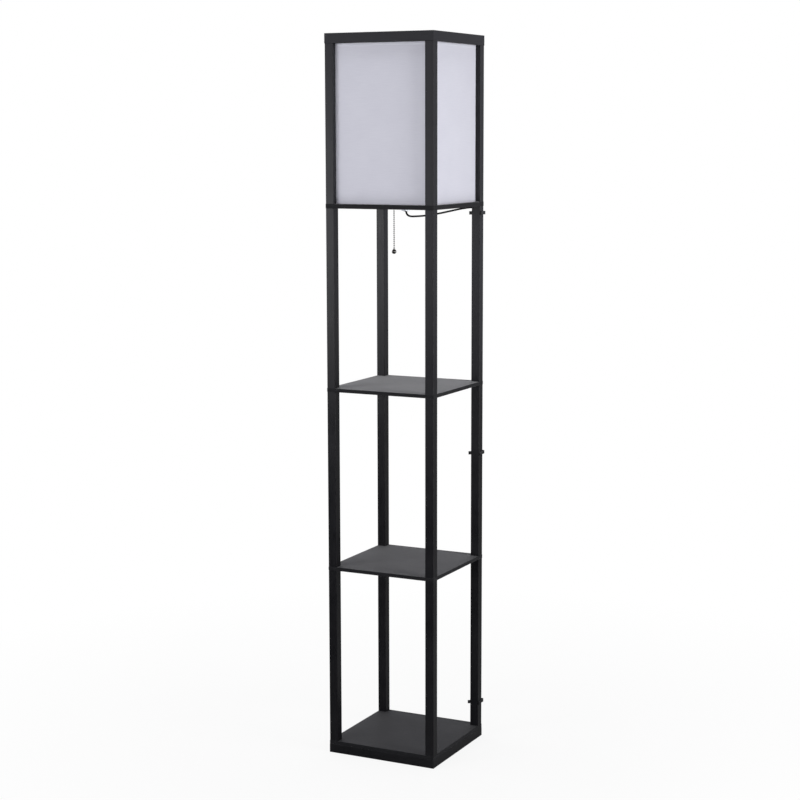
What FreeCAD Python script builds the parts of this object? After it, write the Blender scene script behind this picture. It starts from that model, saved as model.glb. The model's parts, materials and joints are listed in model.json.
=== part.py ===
"""Shelf floor lamp: a tall square tower of posts and full-size shelf boards with a fabric-panelled shade on top.

FreeCAD macro, millimetres. The origin is the centre of the footprint on the floor, +Z up, -Y the front and
+X the right-hand side. Every size below sits in the document's spreadsheet, and the pieces are bound to it.
"""
import FreeCAD, Part
import math
import os
import re

import Sketcher
from FreeCAD import Placement, Rotation, Vector

# ---------------------------------------------------------------------------------------------------------
# Sizes. Each one can be changed by itself.
# ---------------------------------------------------------------------------------------------------------
SIZES = {
    # frame
    "frame_width": 260.0,
    "post_side": 20.0,
    "post_inset": 0.4,
    "post_round": 1.0,
    "bay_height": 394.0,
    "shade_height": 342.0,
    "rail_width": 20.0,
    "base_rail_height": 20.0,
    "top_rail_height": 22.0,
    "rail_round": 0.8,
    "base_board_thick": 8.0,
    "shelf_thick": 8.0,
    "shade_board_thick": 10.0,
    "board_round": 0.8,
    # shade panels, which slide in grooves
    "panel_thick": 1.2,
    "panel_recess": 11.5,
    "panel_side_seat": 4.5,
    "panel_end_seat": 3.0,
    "panel_play": 0.3,
    # fasteners
    "thread_radius": 3.0,
    "thread_play": 0.05,
    "clearance_radius": 3.4,
    "insert_radius": 4.5,
    "insert_length": 13.0,
    "thread_grip": 11.0,
    "bolt_head_radius": 5.5,
    "bolt_head_height": 4.0,
    "counterbore_radius": 6.2,
    "counterbore_depth": 5.0,
    "hex_socket_radius": 2.3,
    "hex_socket_depth": 2.2,
    # lampholder, carried by a threaded nipple through the shade board
    "nipple_radius": 5.0,
    "nipple_bore": 3.4,
    "nipple_below": 8.0,
    "nipple_above": 8.6,
    "nut_flange_radius": 12.5,
    "nut_flange_thick": 2.0,
    "nut_hex_radius": 11.0,
    "nut_height": 8.0,
    "holder_radius": 17.5,
    "holder_wall": 1.2,
    "holder_base_radius": 13.0,
    "cup_height": 16.0,
    "cup_boss_height": 9.0,
    "switch_block_top": 34.0,
    "holder_height": 63.0,
    "screw_shell_radius": 13.9,
    "screw_shell_wall": 0.5,
    "contact_height": 2.2,
    # pull chain: its lengths inside the shade and below the hinge bead, each a whole number of beads
    "chain_offset": 29.0,
    "chain_top_rise": 2.4,
    "chain_inside_length": 36.0,
    "chain_drop_length": 85.5,
    "guide_height": 26.0,
    "guide_bend_radius": 7.0,
    "guide_outer_radius": 3.0,
    "guide_bore_radius": 2.2,
    "guide_seat": 3.0,
    "guide_play": 0.05,
    "bushing_outer_radius": 4.0,
    "bushing_bore_radius": 2.3,
    "bushing_flange_radius": 6.0,
    "bushing_flange_thick": 1.0,
    "bead_radius": 1.6,
    "bead_pitch": 4.5,
    "wire_radius": 0.45,
    "link_gap": 0.5,
    "ball_radius": 5.2,
    "ball_neck_radius": 2.0,
    "ball_neck_height": 1.6,
    # bulb
    "bulb_cap_radius": 13.0,
    "bulb_cap_length": 25.0,
    "bulb_housing_length": 30.0,
    "bulb_globe_radius": 30.0,
    "bulb_globe_rise": 11.0,
    "bulb_wall": 1.2,
    # cable clips, which grip the rear right post
    "clip_height": 7.6,
    "clip_arm_thick": 1.6,
    "clip_back_thick": 1.8,
    "clip_cord_room": 6.6,
    "clip_lip": 5.0,
    "clip_lip_length": 2.6,
    "clip_play": 0.05,
    "clip_top_drop": 15.0,
    "clip_middle_drop": 156.0,
    "clip_bottom_rise": 55.0,
    # cord
    "cord_diameter": 4.2,
    "bush_flange": 1.2,
    "bush_depth": 5.0,
    "bush_flare": 1.2,
    "hank_height": 13.0,
    "hank_reach": 41.0,
    "tie_width": 8.0,
    "tie_thick": 0.9,
    "tie_play": 0.15,
    "plug_boot_length": 14.0,
    "plug_boot_radius": 3.2,
    "plug_length": 27.0,
    "plug_width": 20.0,
    "plug_height": 12.5,
    "blade_spacing": 12.7,
    "blade_width": 6.3,
    "blade_thick": 1.5,
    "blade_length": 16.0,
    "blade_seat": 8.0,
}

# The cord's route from the nipple to the hank: along the underside of the shade board, round the rear right
# post and down its back through the three clips, then behind the base rail. Points chosen by hand.
CORD_ROUTE = [
    (0.0, 0.0, 1225.2),
    (0.0, 0.0, 1213.5),
    (4.8, 6.7, 1205.2),
    (16.2, 22.7, 1205.2),
    (29.0, 40.7, 1206.2),
    (47.6, 66.8, 1209.8),
    (65.0, 91.2, 1214.9),
    (81.3, 114.0, 1219.6),
    (95.4, 133.8, 1222.3),
    (110.3, 133.8, 1221.7),
    (118.6, 133.3, 1213.3),
    (119.8, 133.1, 1195.0),
    (120.7, 133.0, 1164.0),
    (120.3, 133.3, 1112.0),
    (119.1, 133.6, 1053.0),
    (118.3, 133.6, 991.0),
    (118.2, 133.3, 929.0),
    (118.9, 133.0, 867.0),
    (120.1, 132.9, 805.0),
    (121.3, 132.9, 743.0),
    (121.8, 133.0, 681.0),
    (121.4, 133.3, 619.0),
    (120.3, 133.6, 557.0),
    (119.1, 133.7, 495.0),
    (118.4, 133.6, 433.0),
    (118.4, 133.3, 371.0),
    (119.1, 133.0, 309.0),
    (120.2, 132.9, 247.0),
    (121.1, 132.9, 185.0),
    (121.5, 133.0, 125.0),
    (121.1, 133.3, 75.0),
    (119.6, 134.6, 39.0),
    (114.4, 137.7, 17.2),
    (104.0, 143.4, 5.8),
    (90.5, 149.6, 2.4),
    (76.0, 151.5, 2.2),
    (61.0, 151.5, 2.2),
]
# From the hank's other end to the plug, which lies beside it.
TAIL_ROUTE = [
    (-21.0, 151.5, 9.6),
    (-31.0, 151.5, 9.6),
    (-41.0, 150.2, 6.25),
    (-50.5, 150.2, 6.25),
]
# The hank's outline seen from above: two lobes gathered by the tie at the middle.
HANK_CENTRE = (20.0, 151.5)
HANK_OUTLINE = [
    (0.0, 4.6),
    (8.0, 6.2),
    (15.0, 11.8),
    (25.0, 15.6),
    (35.0, 12.6),
    (41.0, 5.0),
    (41.0, -5.0),
    (35.0, -12.6),
    (25.0, -15.6),
    (15.0, -11.8),
    (8.0, -6.2),
    (0.0, -4.6),
    (-8.0, -6.2),
    (-15.0, -11.8),
    (-25.0, -15.6),
    (-35.0, -12.6),
    (-41.0, -5.0),
    (-41.0, 5.0),
    (-35.0, 12.6),
    (-25.0, 15.6),
    (-15.0, 11.8),
    (-8.0, 6.2),
]

doc = FreeCAD.newDocument("ShelfFloorLamp")
sheet = doc.addObject("Spreadsheet::Sheet", "Sizes")
for row, (alias, number) in enumerate(SIZES.items(), start=1):
    sheet.set(f"A{row}", alias)
    sheet.set(f"B{row}", str(number))
    sheet.setAlias(f"B{row}", alias)
doc.recompute()

NODES = []

# ---------------------------------------------------------------------------------------------------------
# Heights and centre lines, worked out from the sizes
# ---------------------------------------------------------------------------------------------------------
POST_CENTRE = "(frame_width / 2 - post_inset - post_side / 2)"
BASE_BOARD_Z = "base_rail_height"
LOWER_POSTS_Z = f"({BASE_BOARD_Z} + base_board_thick)"
LOWER_SHELF_Z = f"({LOWER_POSTS_Z} + bay_height)"
MIDDLE_POSTS_Z = f"({LOWER_SHELF_Z} + shelf_thick)"
UPPER_SHELF_Z = f"({MIDDLE_POSTS_Z} + bay_height)"
UPPER_POSTS_Z = f"({UPPER_SHELF_Z} + shelf_thick)"
SHADE_BOARD_Z = f"({UPPER_POSTS_Z} + bay_height)"
SHADE_POSTS_Z = f"({SHADE_BOARD_Z} + shade_board_thick)"
TOP_RAILS_Z = f"({SHADE_POSTS_Z} + shade_height)"
LAMP_TOP_Z = f"({TOP_RAILS_Z} + top_rail_height)"
# A panel's outer face, its half width and the groove that takes it, from the lamp's centre.
PANEL_FACE = "(frame_width / 2 - post_inset - panel_recess)"
GROOVE_END = f"({POST_CENTRE} - post_side / 2 + panel_side_seat)"
THREAD_BORE = "(thread_radius + thread_play)"


def mm(alias):
    """A size read back from the sheet."""
    return float(sheet.get(alias))


def formula(text):
    """An expression in which each alias points at the sheet."""
    return re.sub(r"[a-z]\w{2,}", r"Sizes.\g<0>", text)


def bind(thing, path, text):
    """Tie one property to the sheet."""
    thing.setExpression(path, formula(text))


def place(thing, x="0", y="0", z="0", turn=0.0):
    """Put a piece at a place worked out from the sheet, turned about Z."""
    thing.Placement = Placement(Vector(), Rotation(Vector(0, 0, 1), turn))
    bind(thing, "Placement.Base.x", x)
    bind(thing, "Placement.Base.y", y)
    bind(thing, "Placement.Base.z", z)
    return thing


def node(thing, label):
    """Name a finished piece; it is written to a file of that name."""
    thing.Label = label
    NODES.append(thing)
    return thing


# ---------------------------------------------------------------------------------------------------------
# Sketch and feature helpers. In a sketch, geometry -1 is the across axis and the origin point, -2 the up axis.
# ---------------------------------------------------------------------------------------------------------
def new_body(name):
    return doc.addObject("PartDesign::Body", name)


def new_sketch(body, name, plane="XY_Plane", offset=None):
    """A sketch on one of the body's own origin planes, lifted along its normal by a formula."""
    sketch = body.newObject("Sketcher::SketchObject", name)
    support = [item for item in body.Origin.OriginFeatures if item.Role == plane][0]
    sketch.AttachmentSupport = [(support, "")]
    sketch.MapMode = "FlatFace"
    if offset:
        bind(sketch, "AttachmentOffset.Base.z", offset)
    return sketch


def fix_point(sketch, edge, end, tag, across, up):
    """Hold one point of a sketch at (across, up), each a formula."""
    point = sketch.getPoint(edge, end)
    for kind, axis, value, text in (
        ("DistanceX", -2, point.x, across),
        ("DistanceY", -1, point.y, up),
    ):
        if text == "0":
            sketch.addConstraint(Sketcher.Constraint("PointOnObject", edge, end, axis))
            continue
        index = sketch.addConstraint(Sketcher.Constraint(kind, -1, 1, edge, end, value))
        name = kind[-1].lower() + tag
        sketch.renameConstraint(index, name)
        bind(sketch, f"Constraints.{name}", text)


def polygon(sketch, corners):
    """A closed loop of straight lines with its corners at the given formulas."""
    first = sketch.GeometryCount
    count = len(corners)
    rough = []
    for i in range(count):
        angle = 2 * math.pi * (i + 0.3) / count
        rough.append(Vector(3 + math.cos(angle), 3 + math.sin(angle), 0))
    for i in range(count):
        sketch.addGeometry(Part.LineSegment(rough[i], rough[(i + 1) % count]), False)
    for i in range(count):
        sketch.addConstraint(
            Sketcher.Constraint("Coincident", first + i, 2, first + (i + 1) % count, 1)
        )
    for i, (across, up) in enumerate(corners):
        fix_point(sketch, first + i, 1, f"{first + i}", across, up)


def rectangle(sketch, left, right, low, high):
    polygon(sketch, [(left, low), (right, low), (right, high), (left, high)])


def circle(sketch, across, up, radius):
    """A circle whose centre and radius are formulas."""
    index = sketch.addGeometry(Part.Circle(Vector(3, 3, 0), Vector(0, 0, 1), 1), False)
    fix_point(sketch, index, 3, f"c{index}", across, up)
    constraint = sketch.addConstraint(Sketcher.Constraint("Radius", index, 1))
    sketch.renameConstraint(constraint, f"r{index}")
    bind(sketch, f"Constraints.r{index}", radius)


def pad(body, sketch, length):
    feature = body.newObject("PartDesign::Pad", body.Name + "Pad")
    feature.Profile = sketch
    bind(feature, "Length", length)
    sketch.Visibility = False
    return feature


def pocket(body, sketch, length, upward):
    """Cut a sketch into the body: upward along the sketch's normal, or downward against it."""
    feature = body.newObject("PartDesign::Pocket", sketch.Name + "Cut")
    feature.Profile = sketch
    feature.Reversed = upward
    bind(feature, "Length", length)
    return feature


def revolve(body, sketch):
    feature = body.newObject("PartDesign::Revolution", body.Name + "Turned")
    feature.Profile = sketch
    feature.ReferenceAxis = (sketch, ["V_Axis"])
    feature.Angle = 360.0
    return feature


def soften(body, feature, radius, wanted):
    """Round the edges of a feature for which wanted(edge) holds."""
    doc.recompute()
    names = []
    for number, edge in enumerate(feature.Shape.Edges, start=1):
        if wanted(edge):
            names.append(f"Edge{number}")
    fillet = body.newObject("PartDesign::Fillet", body.Name + "Round")
    fillet.Base = (feature, names)
    bind(fillet, "Radius", radius)
    return fillet


def runs_along(edge, axis):
    """True for a straight edge parallel to an axis: 0, 1 or 2 for X, Y or Z."""
    ends = edge.Vertexes
    if len(ends) != 2:
        return False
    step = ends[1].Point - ends[0].Point
    sideways = [abs(value) for i, value in enumerate(step) if i != axis]
    return max(sideways) < 1e-6


def turned(label, profile, x="0", y="0", z="0"):
    """A piece turned about its own Z axis from a profile of (radius, height) formulas."""
    body = new_body(label)
    sketch = new_sketch(body, label + "Profile", "XZ_Plane")
    polygon(sketch, profile)
    revolve(body, sketch)
    node(body, label)
    return place(body, x, y, z)


# ---------------------------------------------------------------------------------------------------------
# Posts: square, soft-edged, with a bore for a threaded insert in each end
# ---------------------------------------------------------------------------------------------------------
CORNERS = {
    "front_left": (f"-{POST_CENTRE}", f"-{POST_CENTRE}", 0.0),
    "front_right": (POST_CENTRE, f"-{POST_CENTRE}", 90.0),
    "rear_right": (POST_CENTRE, POST_CENTRE, 180.0),
    "rear_left": (f"-{POST_CENTRE}", POST_CENTRE, 270.0),
}


def post(label, length, x, y, z, turn, grooved=False):
    """A post about its own centre line. Before it is turned its outer faces look to -X and -Y."""
    body = new_body(label)
    half = "post_side / 2"
    section = new_sketch(body, label + "Section")
    rectangle(section, f"-{half}", half, f"-{half}", half)
    column = pad(body, section, length)
    soften(body, column, "post_round", lambda edge: runs_along(edge, 2))
    low = new_sketch(body, label + "LowBore")
    circle(low, "0", "0", "insert_radius")
    pocket(body, low, "insert_length", upward=True)
    high = new_sketch(body, label + "HighBore", offset=length)
    circle(high, "0", "0", "insert_radius")
    pocket(body, high, "insert_length", upward=False)
    if grooved:
        near = "-post_side / 2 + panel_recess - panel_play"
        far = "-post_side / 2 + panel_recess + panel_thick + panel_play"
        bottom = "post_side / 2 - panel_side_seat"
        mouth = "post_side"
        for side, box in (("Front", (bottom, mouth, near, far)), ("Side", (near, far, bottom, mouth))):
            groove = new_sketch(body, label + side + "Groove")
            rectangle(groove, *box)
            pocket(body, groove, length, upward=True)
    node(body, label)
    return place(body, x, y, z, turn)


for level, length, z, grooved in (
    ("lower", "bay_height", LOWER_POSTS_Z, False),
    ("middle", "bay_height", MIDDLE_POSTS_Z, False),
    ("upper", "bay_height", UPPER_POSTS_Z, False),
    ("shade", "shade_height", SHADE_POSTS_Z, True),
):
    for corner, (x, y, turn) in CORNERS.items():
        post(f"{level}_post_{corner}", length, x, y, z, turn, grooved)


# ---------------------------------------------------------------------------------------------------------
# Base and top frames: four mitred rails each, drilled at the corners for the bolts
# ---------------------------------------------------------------------------------------------------------
SIDES = {"front": 0.0, "right": 90.0, "rear": 180.0, "left": 270.0}


def rail(label, height, z, turn, bolted_from_below, grooved=False):
    """A mitred rail, modelled at the front and turned to its side."""
    body = new_body(label)
    outer = "frame_width / 2"
    inner = "(frame_width / 2 - rail_width)"
    plan = new_sketch(body, label + "Plan")
    polygon(plan, [(f"-{outer}", f"-{outer}"), (outer, f"-{outer}"), (inner, f"-{inner}"), (f"-{inner}", f"-{inner}")])
    bar = pad(body, plan, height)
    outer_line = -mm("frame_width") / 2

    def is_outer(edge):
        return runs_along(edge, 0) and abs(edge.Vertexes[0].Y - outer_line) < 1e-6

    soften(body, bar, "rail_round", is_outer)
    if bolted_from_below:
        holes = new_sketch(body, label + "BoltHoles")
        seats = new_sketch(body, label + "BoltSeats")
    else:
        holes = new_sketch(body, label + "BoltHoles", offset=height)
        seats = new_sketch(body, label + "BoltSeats", offset=height)
    for across in (f"-{POST_CENTRE}", POST_CENTRE):
        circle(holes, across, f"-{POST_CENTRE}", "clearance_radius")
        circle(seats, across, f"-{POST_CENTRE}", "counterbore_radius")
    pocket(body, holes, height, upward=bolted_from_below)
    pocket(body, seats, "counterbore_depth", upward=bolted_from_below)
    if grooved:
        groove = new_sketch(body, label + "Groove")
        rectangle(
            groove,
            f"-{GROOVE_END}",
            GROOVE_END,
            f"-{PANEL_FACE} - panel_play",
            f"-{PANEL_FACE} + panel_thick + panel_play",
        )
        pocket(body, groove, "panel_end_seat", upward=True)
    node(body, label)
    return place(body, z=z, turn=turn)


for side, turn in SIDES.items():
    rail(f"base_{side}_rail", "base_rail_height", "0", turn, bolted_from_below=True)
    rail(f"top_{side}_rail", "top_rail_height", TOP_RAILS_Z, turn, bolted_from_below=False, grooved=True)


# ---------------------------------------------------------------------------------------------------------
# Boards: full size, clamped between the post ends
# ---------------------------------------------------------------------------------------------------------
def board(label, thick, z, extras=None):
    body = new_body(label)
    half = "frame_width / 2"
    plan = new_sketch(body, label + "Plan")
    rectangle(plan, f"-{half}", half, f"-{half}", half)
    slab = pad(body, plan, thick)
    soften(body, slab, "board_round", lambda edge: True)
    holes = new_sketch(body, label + "StudHoles")
    for x, y, _turn in CORNERS.values():
        circle(holes, x, y, "clearance_radius")
    pocket(body, holes, thick, upward=True)
    if extras:
        extras(body)
    node(body, label)
    return place(body, z=z)


def shade_board_cuts(body):
    """Holes for the nipple and the pull chain, and a groove under each panel."""
    bores = new_sketch(body, "HolderHoles")
    circle(bores, "0", "0", "nipple_radius + guide_play")
    circle(bores, "-chain_offset", "0", "bushing_outer_radius + guide_play")
    pocket(body, bores, "shade_board_thick", upward=True)
    near = f"{PANEL_FACE} + panel_play"
    far = f"{PANEL_FACE} - panel_thick - panel_play"
    for name, box in (
        ("Front", (f"-{GROOVE_END}", GROOVE_END, f"-({near})", f"-({far})")),
        ("Rear", (f"-{GROOVE_END}", GROOVE_END, far, near)),
        ("Left", (f"-({near})", f"-({far})", f"-{GROOVE_END}", GROOVE_END)),
        ("Right", (far, near, f"-{GROOVE_END}", GROOVE_END)),
    ):
        groove = new_sketch(body, name + "PanelGroove", offset="shade_board_thick")
        rectangle(groove, *box)
        pocket(body, groove, "panel_end_seat", upward=False)


board("base_board", "base_board_thick", BASE_BOARD_Z)
board("lower_shelf", "shelf_thick", LOWER_SHELF_Z)
board("upper_shelf", "shelf_thick", UPPER_SHELF_Z)
board("shade_board", "shade_board_thick", SHADE_BOARD_Z, shade_board_cuts)


# ---------------------------------------------------------------------------------------------------------
# Shade panels: stiff laminated fabric sheets, standing in the board's grooves
# ---------------------------------------------------------------------------------------------------------
def panel(label, along_x, low_face):
    """A sheet along X or Y, whose face nearer the negative side is at low_face."""
    sheet_box = doc.addObject("Part::Box", label)
    width = f"2 * ({GROOVE_END} - panel_play)"
    bind(sheet_box, "Length", width if along_x else "panel_thick")
    bind(sheet_box, "Width", "panel_thick" if along_x else width)
    bind(sheet_box, "Height", "shade_height + 2 * panel_end_seat - panel_play")
    start = f"-({GROOVE_END} - panel_play)"
    node(sheet_box, label)
    place(
        sheet_box,
        start if along_x else low_face,
        low_face if along_x else start,
        f"{SHADE_POSTS_Z} - panel_end_seat",
    )


panel("shade_panel_front", True, f"-{PANEL_FACE}")
panel("shade_panel_rear", True, f"{PANEL_FACE} - panel_thick")
panel("shade_panel_left", False, f"-{PANEL_FACE}")
panel("shade_panel_right", False, f"{PANEL_FACE} - panel_thick")


# ---------------------------------------------------------------------------------------------------------
# Fasteners: one of each at a corner, mirrored to the other three
# ---------------------------------------------------------------------------------------------------------
def cylinder(name, radius, height, x="0", y="0", z="0"):
    rod = doc.addObject("Part::Cylinder", name)
    bind(rod, "Radius", radius)
    bind(rod, "Height", height)
    return place(rod, x, y, z)


def hexagon(name, radius, height, x="0", y="0", z="0"):
    prism = doc.addObject("Part::Prism", name)
    prism.Polygon = 6
    bind(prism, "Circumradius", radius)
    bind(prism, "Height", height)
    return place(prism, x, y, z)


def cut(name, base, tool):
    result = doc.addObject("Part::Cut", name)
    result.Base = base
    result.Tool = tool
    return result


def fuse(name, pieces):
    result = doc.addObject("Part::MultiFuse", name)
    result.Shapes = pieces
    return result


def mirrored(name, source, normal):
    result = doc.addObject("Part::Mirroring", name)
    result.Source = source
    result.Base = Vector(0, 0, 0)
    result.Normal = normal
    return result


def gather(name, pieces):
    result = doc.addObject("Part::Compound", name)
    result.Links = pieces
    return result


def at_four_corners(label, seeds):
    """Separate solids: the seeds at the rear right corner and their three mirror images."""
    first = gather(label + "_seed", seeds)
    pair = gather(label + "_pair", [first, mirrored(label + "_left", first, Vector(1, 0, 0))])
    return node(gather(label, [pair, mirrored(label + "_front", pair, Vector(0, 1, 0))]), label)


def insert_at(name, z):
    """A threaded insert: a sleeve flush with a post's end."""
    sleeve = cylinder(name + "_body", "insert_radius - thread_play", "insert_length", POST_CENTRE, POST_CENTRE, z)
    bore = cylinder(name + "_bore", THREAD_BORE, "insert_length", POST_CENTRE, POST_CENTRE, z)
    return cut(name, sleeve, bore)


def insert_seeds():
    seeds = []
    for level, low, length in (
        ("lower", LOWER_POSTS_Z, "bay_height"),
        ("middle", MIDDLE_POSTS_Z, "bay_height"),
        ("upper", UPPER_POSTS_Z, "bay_height"),
        ("shade", SHADE_POSTS_Z, "shade_height"),
    ):
        seeds.append(insert_at(f"{level}_low_insert", low))
        seeds.append(insert_at(f"{level}_high_insert", f"{low} + {length} - insert_length"))
    return seeds


def stud_seeds():
    seeds = []
    for level, board_z, thick in (
        ("lower", LOWER_SHELF_Z, "shelf_thick"),
        ("upper", UPPER_SHELF_Z, "shelf_thick"),
        ("shade", SHADE_BOARD_Z, "shade_board_thick"),
    ):
        start = f"{board_z} - thread_grip"
        length = f"{thick} + 2 * thread_grip"
        seeds.append(cylinder(f"{level}_stud", "thread_radius", length, POST_CENTRE, POST_CENTRE, start))
    return seeds


def bolt(name, seat_z, length, head_up):
    """A hex-socket bolt; seat_z is the underside of its head, and length its shank."""
    if head_up:
        shank_z, head_z = f"{seat_z} - ({length})", seat_z
        socket_z = f"{seat_z} + bolt_head_height - hex_socket_depth"
    else:
        shank_z, head_z = seat_z, f"{seat_z} - bolt_head_height"
        socket_z = head_z
    shank = cylinder(name + "_shank", "thread_radius", length, POST_CENTRE, POST_CENTRE, shank_z)
    head = cylinder(name + "_head", "bolt_head_radius", "bolt_head_height", POST_CENTRE, POST_CENTRE, head_z)
    drive = hexagon(name + "_drive", "hex_socket_radius", "hex_socket_depth", POST_CENTRE, POST_CENTRE, socket_z)
    return cut(name, fuse(name + "_blank", [shank, head]), drive)


at_four_corners("threaded_inserts", insert_seeds())
at_four_corners("connecting_studs", stud_seeds())
at_four_corners(
    "base_bolts",
    [bolt("base_bolt", "counterbore_depth", f"{LOWER_POSTS_Z} - counterbore_depth + thread_grip", False)],
)
at_four_corners(
    "top_bolts",
    [
        bolt(
            "top_bolt",
            f"({LAMP_TOP_Z} - counterbore_depth)",
            "top_rail_height - counterbore_depth + thread_grip",
            True,
        )
    ],
)


# ---------------------------------------------------------------------------------------------------------
# Lampholder on its threaded nipple. Heights count from the top of the shade board.
# ---------------------------------------------------------------------------------------------------------
def tube_profile(inner, outer, low, high):
    return [(inner, low), (outer, low), (outer, high), (inner, high)]


NIPPLE_LOW = "-(shade_board_thick + nipple_below)"
turned(
    "threaded_nipple",
    tube_profile("nipple_bore", "nipple_radius", NIPPLE_LOW, "nipple_above"),
    z=SHADE_POSTS_Z,
)
NUT_Z = f"{SHADE_BOARD_Z} - nut_height"
nut_hex = hexagon("nut_hex", "nut_hex_radius", "nut_height", z=NUT_Z)
nut_flange = cylinder("nut_flange", "nut_flange_radius", "nut_flange_thick", z=f"{SHADE_BOARD_Z} - nut_flange_thick")
nut_bore = cylinder("nut_bore", "nipple_radius + thread_play", "nut_height", z=NUT_Z)
node(cut("nipple_nut", fuse("nut_blank", [nut_hex, nut_flange]), nut_bore), "nipple_nut")

# A plastic bush in the nipple's lower end, flared at the mouth, keeps the cord off the metal edge.
turned(
    "cord_bush",
    [
        ("cord_diameter / 2 + bush_flare", "-bush_flange"),
        ("nipple_radius", "-bush_flange"),
        ("nipple_radius", "0"),
        ("nipple_bore - 0.05", "0"),
        ("nipple_bore - 0.05", "bush_depth"),
        ("cord_diameter / 2 + 0.05", "bush_depth"),
        ("cord_diameter / 2 + 0.05", "bush_flare"),
    ],
    z=f"{SHADE_BOARD_Z} - nipple_below",
)

CUP_INNER = "(holder_radius - holder_wall)"
turned(
    "holder_cup",
    [
        ("nipple_radius + thread_play", "0"),
        ("holder_base_radius", "0"),
        ("holder_radius", "cup_height * 0.65"),
        ("holder_radius", "cup_height"),
        (CUP_INNER, "cup_height"),
        (CUP_INNER, "cup_height * 0.65 + 0.4"),
        ("holder_base_radius - holder_wall", "holder_wall"),
        ("nipple_radius + 3", "holder_wall"),
        ("nipple_radius + 3", "cup_boss_height"),
        ("nipple_radius + thread_play", "cup_boss_height"),
    ],
    z=SHADE_POSTS_Z,
)

# The insulating block holds the switch, and the chain guide is pressed into its left side.
BLOCK_RADIUS = f"({CUP_INNER} - 0.4)"
block = new_body("switch_block")
block_profile = new_sketch(block, "BlockProfile", "XZ_Plane")
polygon(
    block_profile,
    [
        ("0", "cup_boss_height"),
        ("holder_base_radius - holder_wall", "cup_boss_height"),
        (BLOCK_RADIUS, "cup_height * 0.65 + 2"),
        (BLOCK_RADIUS, "switch_block_top"),
        ("0", "switch_block_top"),
    ],
)
revolve(block, block_profile)
guide_hole = new_sketch(block, "GuideHole", "YZ_Plane", offset=f"-({BLOCK_RADIUS} + 1)")
circle(guide_hole, "0", "guide_height", "guide_outer_radius + guide_play")
pocket(block, guide_hole, "guide_seat + 1", upward=True)
node(block, "switch_block")
place(block, z=SHADE_POSTS_Z)

sleeve = new_body("holder_shell")
sleeve_profile = new_sketch(sleeve, "SleeveProfile", "XZ_Plane")
polygon(
    sleeve_profile,
    [
        (CUP_INNER, "cup_height"),
        ("holder_radius", "cup_height"),
        ("holder_radius", "holder_height - 3"),
        ("holder_radius + 1", "holder_height - 2"),
        ("holder_radius + 1", "holder_height"),
        (CUP_INNER, "holder_height"),
    ],
)
revolve(sleeve, sleeve_profile)
guide_window = new_sketch(sleeve, "GuideWindow", "YZ_Plane", offset="-(holder_radius + 2)")
circle(guide_window, "0", "guide_height", "guide_outer_radius + 0.4")
pocket(sleeve, guide_window, "holder_radius", upward=True)
node(sleeve, "holder_shell")
place(sleeve, z=SHADE_POSTS_Z)

SCREW_INNER = "(screw_shell_radius - screw_shell_wall)"
SCREW_TOP = "(switch_block_top + bulb_cap_length)"
turned(
    "screw_shell",
    [
        ("6", "switch_block_top"),
        ("screw_shell_radius", "switch_block_top"),
        ("screw_shell_radius", SCREW_TOP),
        (SCREW_INNER, SCREW_TOP),
        (SCREW_INNER, "switch_block_top + screw_shell_wall"),
        ("6", "switch_block_top + screw_shell_wall"),
    ],
    z=SHADE_POSTS_Z,
)
turned(
    "centre_contact",
    [
        ("0", "switch_block_top"),
        ("4", "switch_block_top"),
        ("4", "switch_block_top + contact_height * 0.5"),
        ("2.5", "switch_block_top + contact_height"),
        ("0", "switch_block_top + contact_height"),
    ],
    z=SHADE_POSTS_Z,
)


# ---------------------------------------------------------------------------------------------------------
# Chain guide: an elbow out of the switch block whose flared mouth points down at the hole in the board
# ---------------------------------------------------------------------------------------------------------
def elbow(name, radius, start, flare):
    """A horizontal rod from start towards -X that bends down and ends in a cone."""
    bend_x = "-(chain_offset - guide_bend_radius)"
    level = f"{SHADE_POSTS_Z} + guide_height"
    rod = doc.addObject("Part::Cylinder", name + "_rod")
    bind(rod, "Radius", radius)
    bind(rod, "Height", f"(chain_offset - guide_bend_radius) - ({start})")
    rod.Placement = Placement(Vector(), Rotation(Vector(0, 1, 0), 90))
    bind(rod, "Placement.Base.x", bend_x)
    bind(rod, "Placement.Base.z", level)
    bend = doc.addObject("Part::Torus", name + "_bend")
    bind(bend, "Radius1", "guide_bend_radius")
    bind(bend, "Radius2", radius)
    bend.Angle3 = 90.0
    bend.Placement = Placement(Vector(), Rotation(Vector(1, 0, 0), 90).multiply(Rotation(Vector(0, 0, 1), 90)))
    bind(bend, "Placement.Base.x", bend_x)
    bind(bend, "Placement.Base.z", f"{level} - guide_bend_radius")
    mouth = doc.addObject("Part::Cone", name + "_mouth")
    bind(mouth, "Radius1", f"{radius} + {flare}")
    bind(mouth, "Radius2", radius)
    mouth.Height = 2.5
    place(mouth, "-chain_offset", "0", f"{level} - guide_bend_radius - 2.5")
    return fuse(name, [rod, bend, mouth])


guide_start = f"{BLOCK_RADIUS} - guide_seat + guide_play"
node(
    cut(
        "chain_guide",
        elbow("guide_outer", "guide_outer_radius", guide_start, "1.4"),
        elbow("guide_bore", "guide_bore_radius", guide_start, "1.4"),
    ),
    "chain_guide",
)

FLANGE_LOW = "-(shade_board_thick + bushing_flange_thick)"
turned(
    "chain_bushing",
    [
        ("bushing_bore_radius", FLANGE_LOW),
        ("bushing_flange_radius", FLANGE_LOW),
        ("bushing_flange_radius", "-shade_board_thick"),
        ("bushing_outer_radius", "-shade_board_thick"),
        ("bushing_outer_radius", "0"),
        ("bushing_flange_radius", "0"),
        ("bushing_flange_radius", "bushing_flange_thick"),
        ("bushing_bore_radius", "bushing_flange_thick"),
    ],
    x="-chain_offset",
    z=SHADE_POSTS_Z,
)


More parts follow.
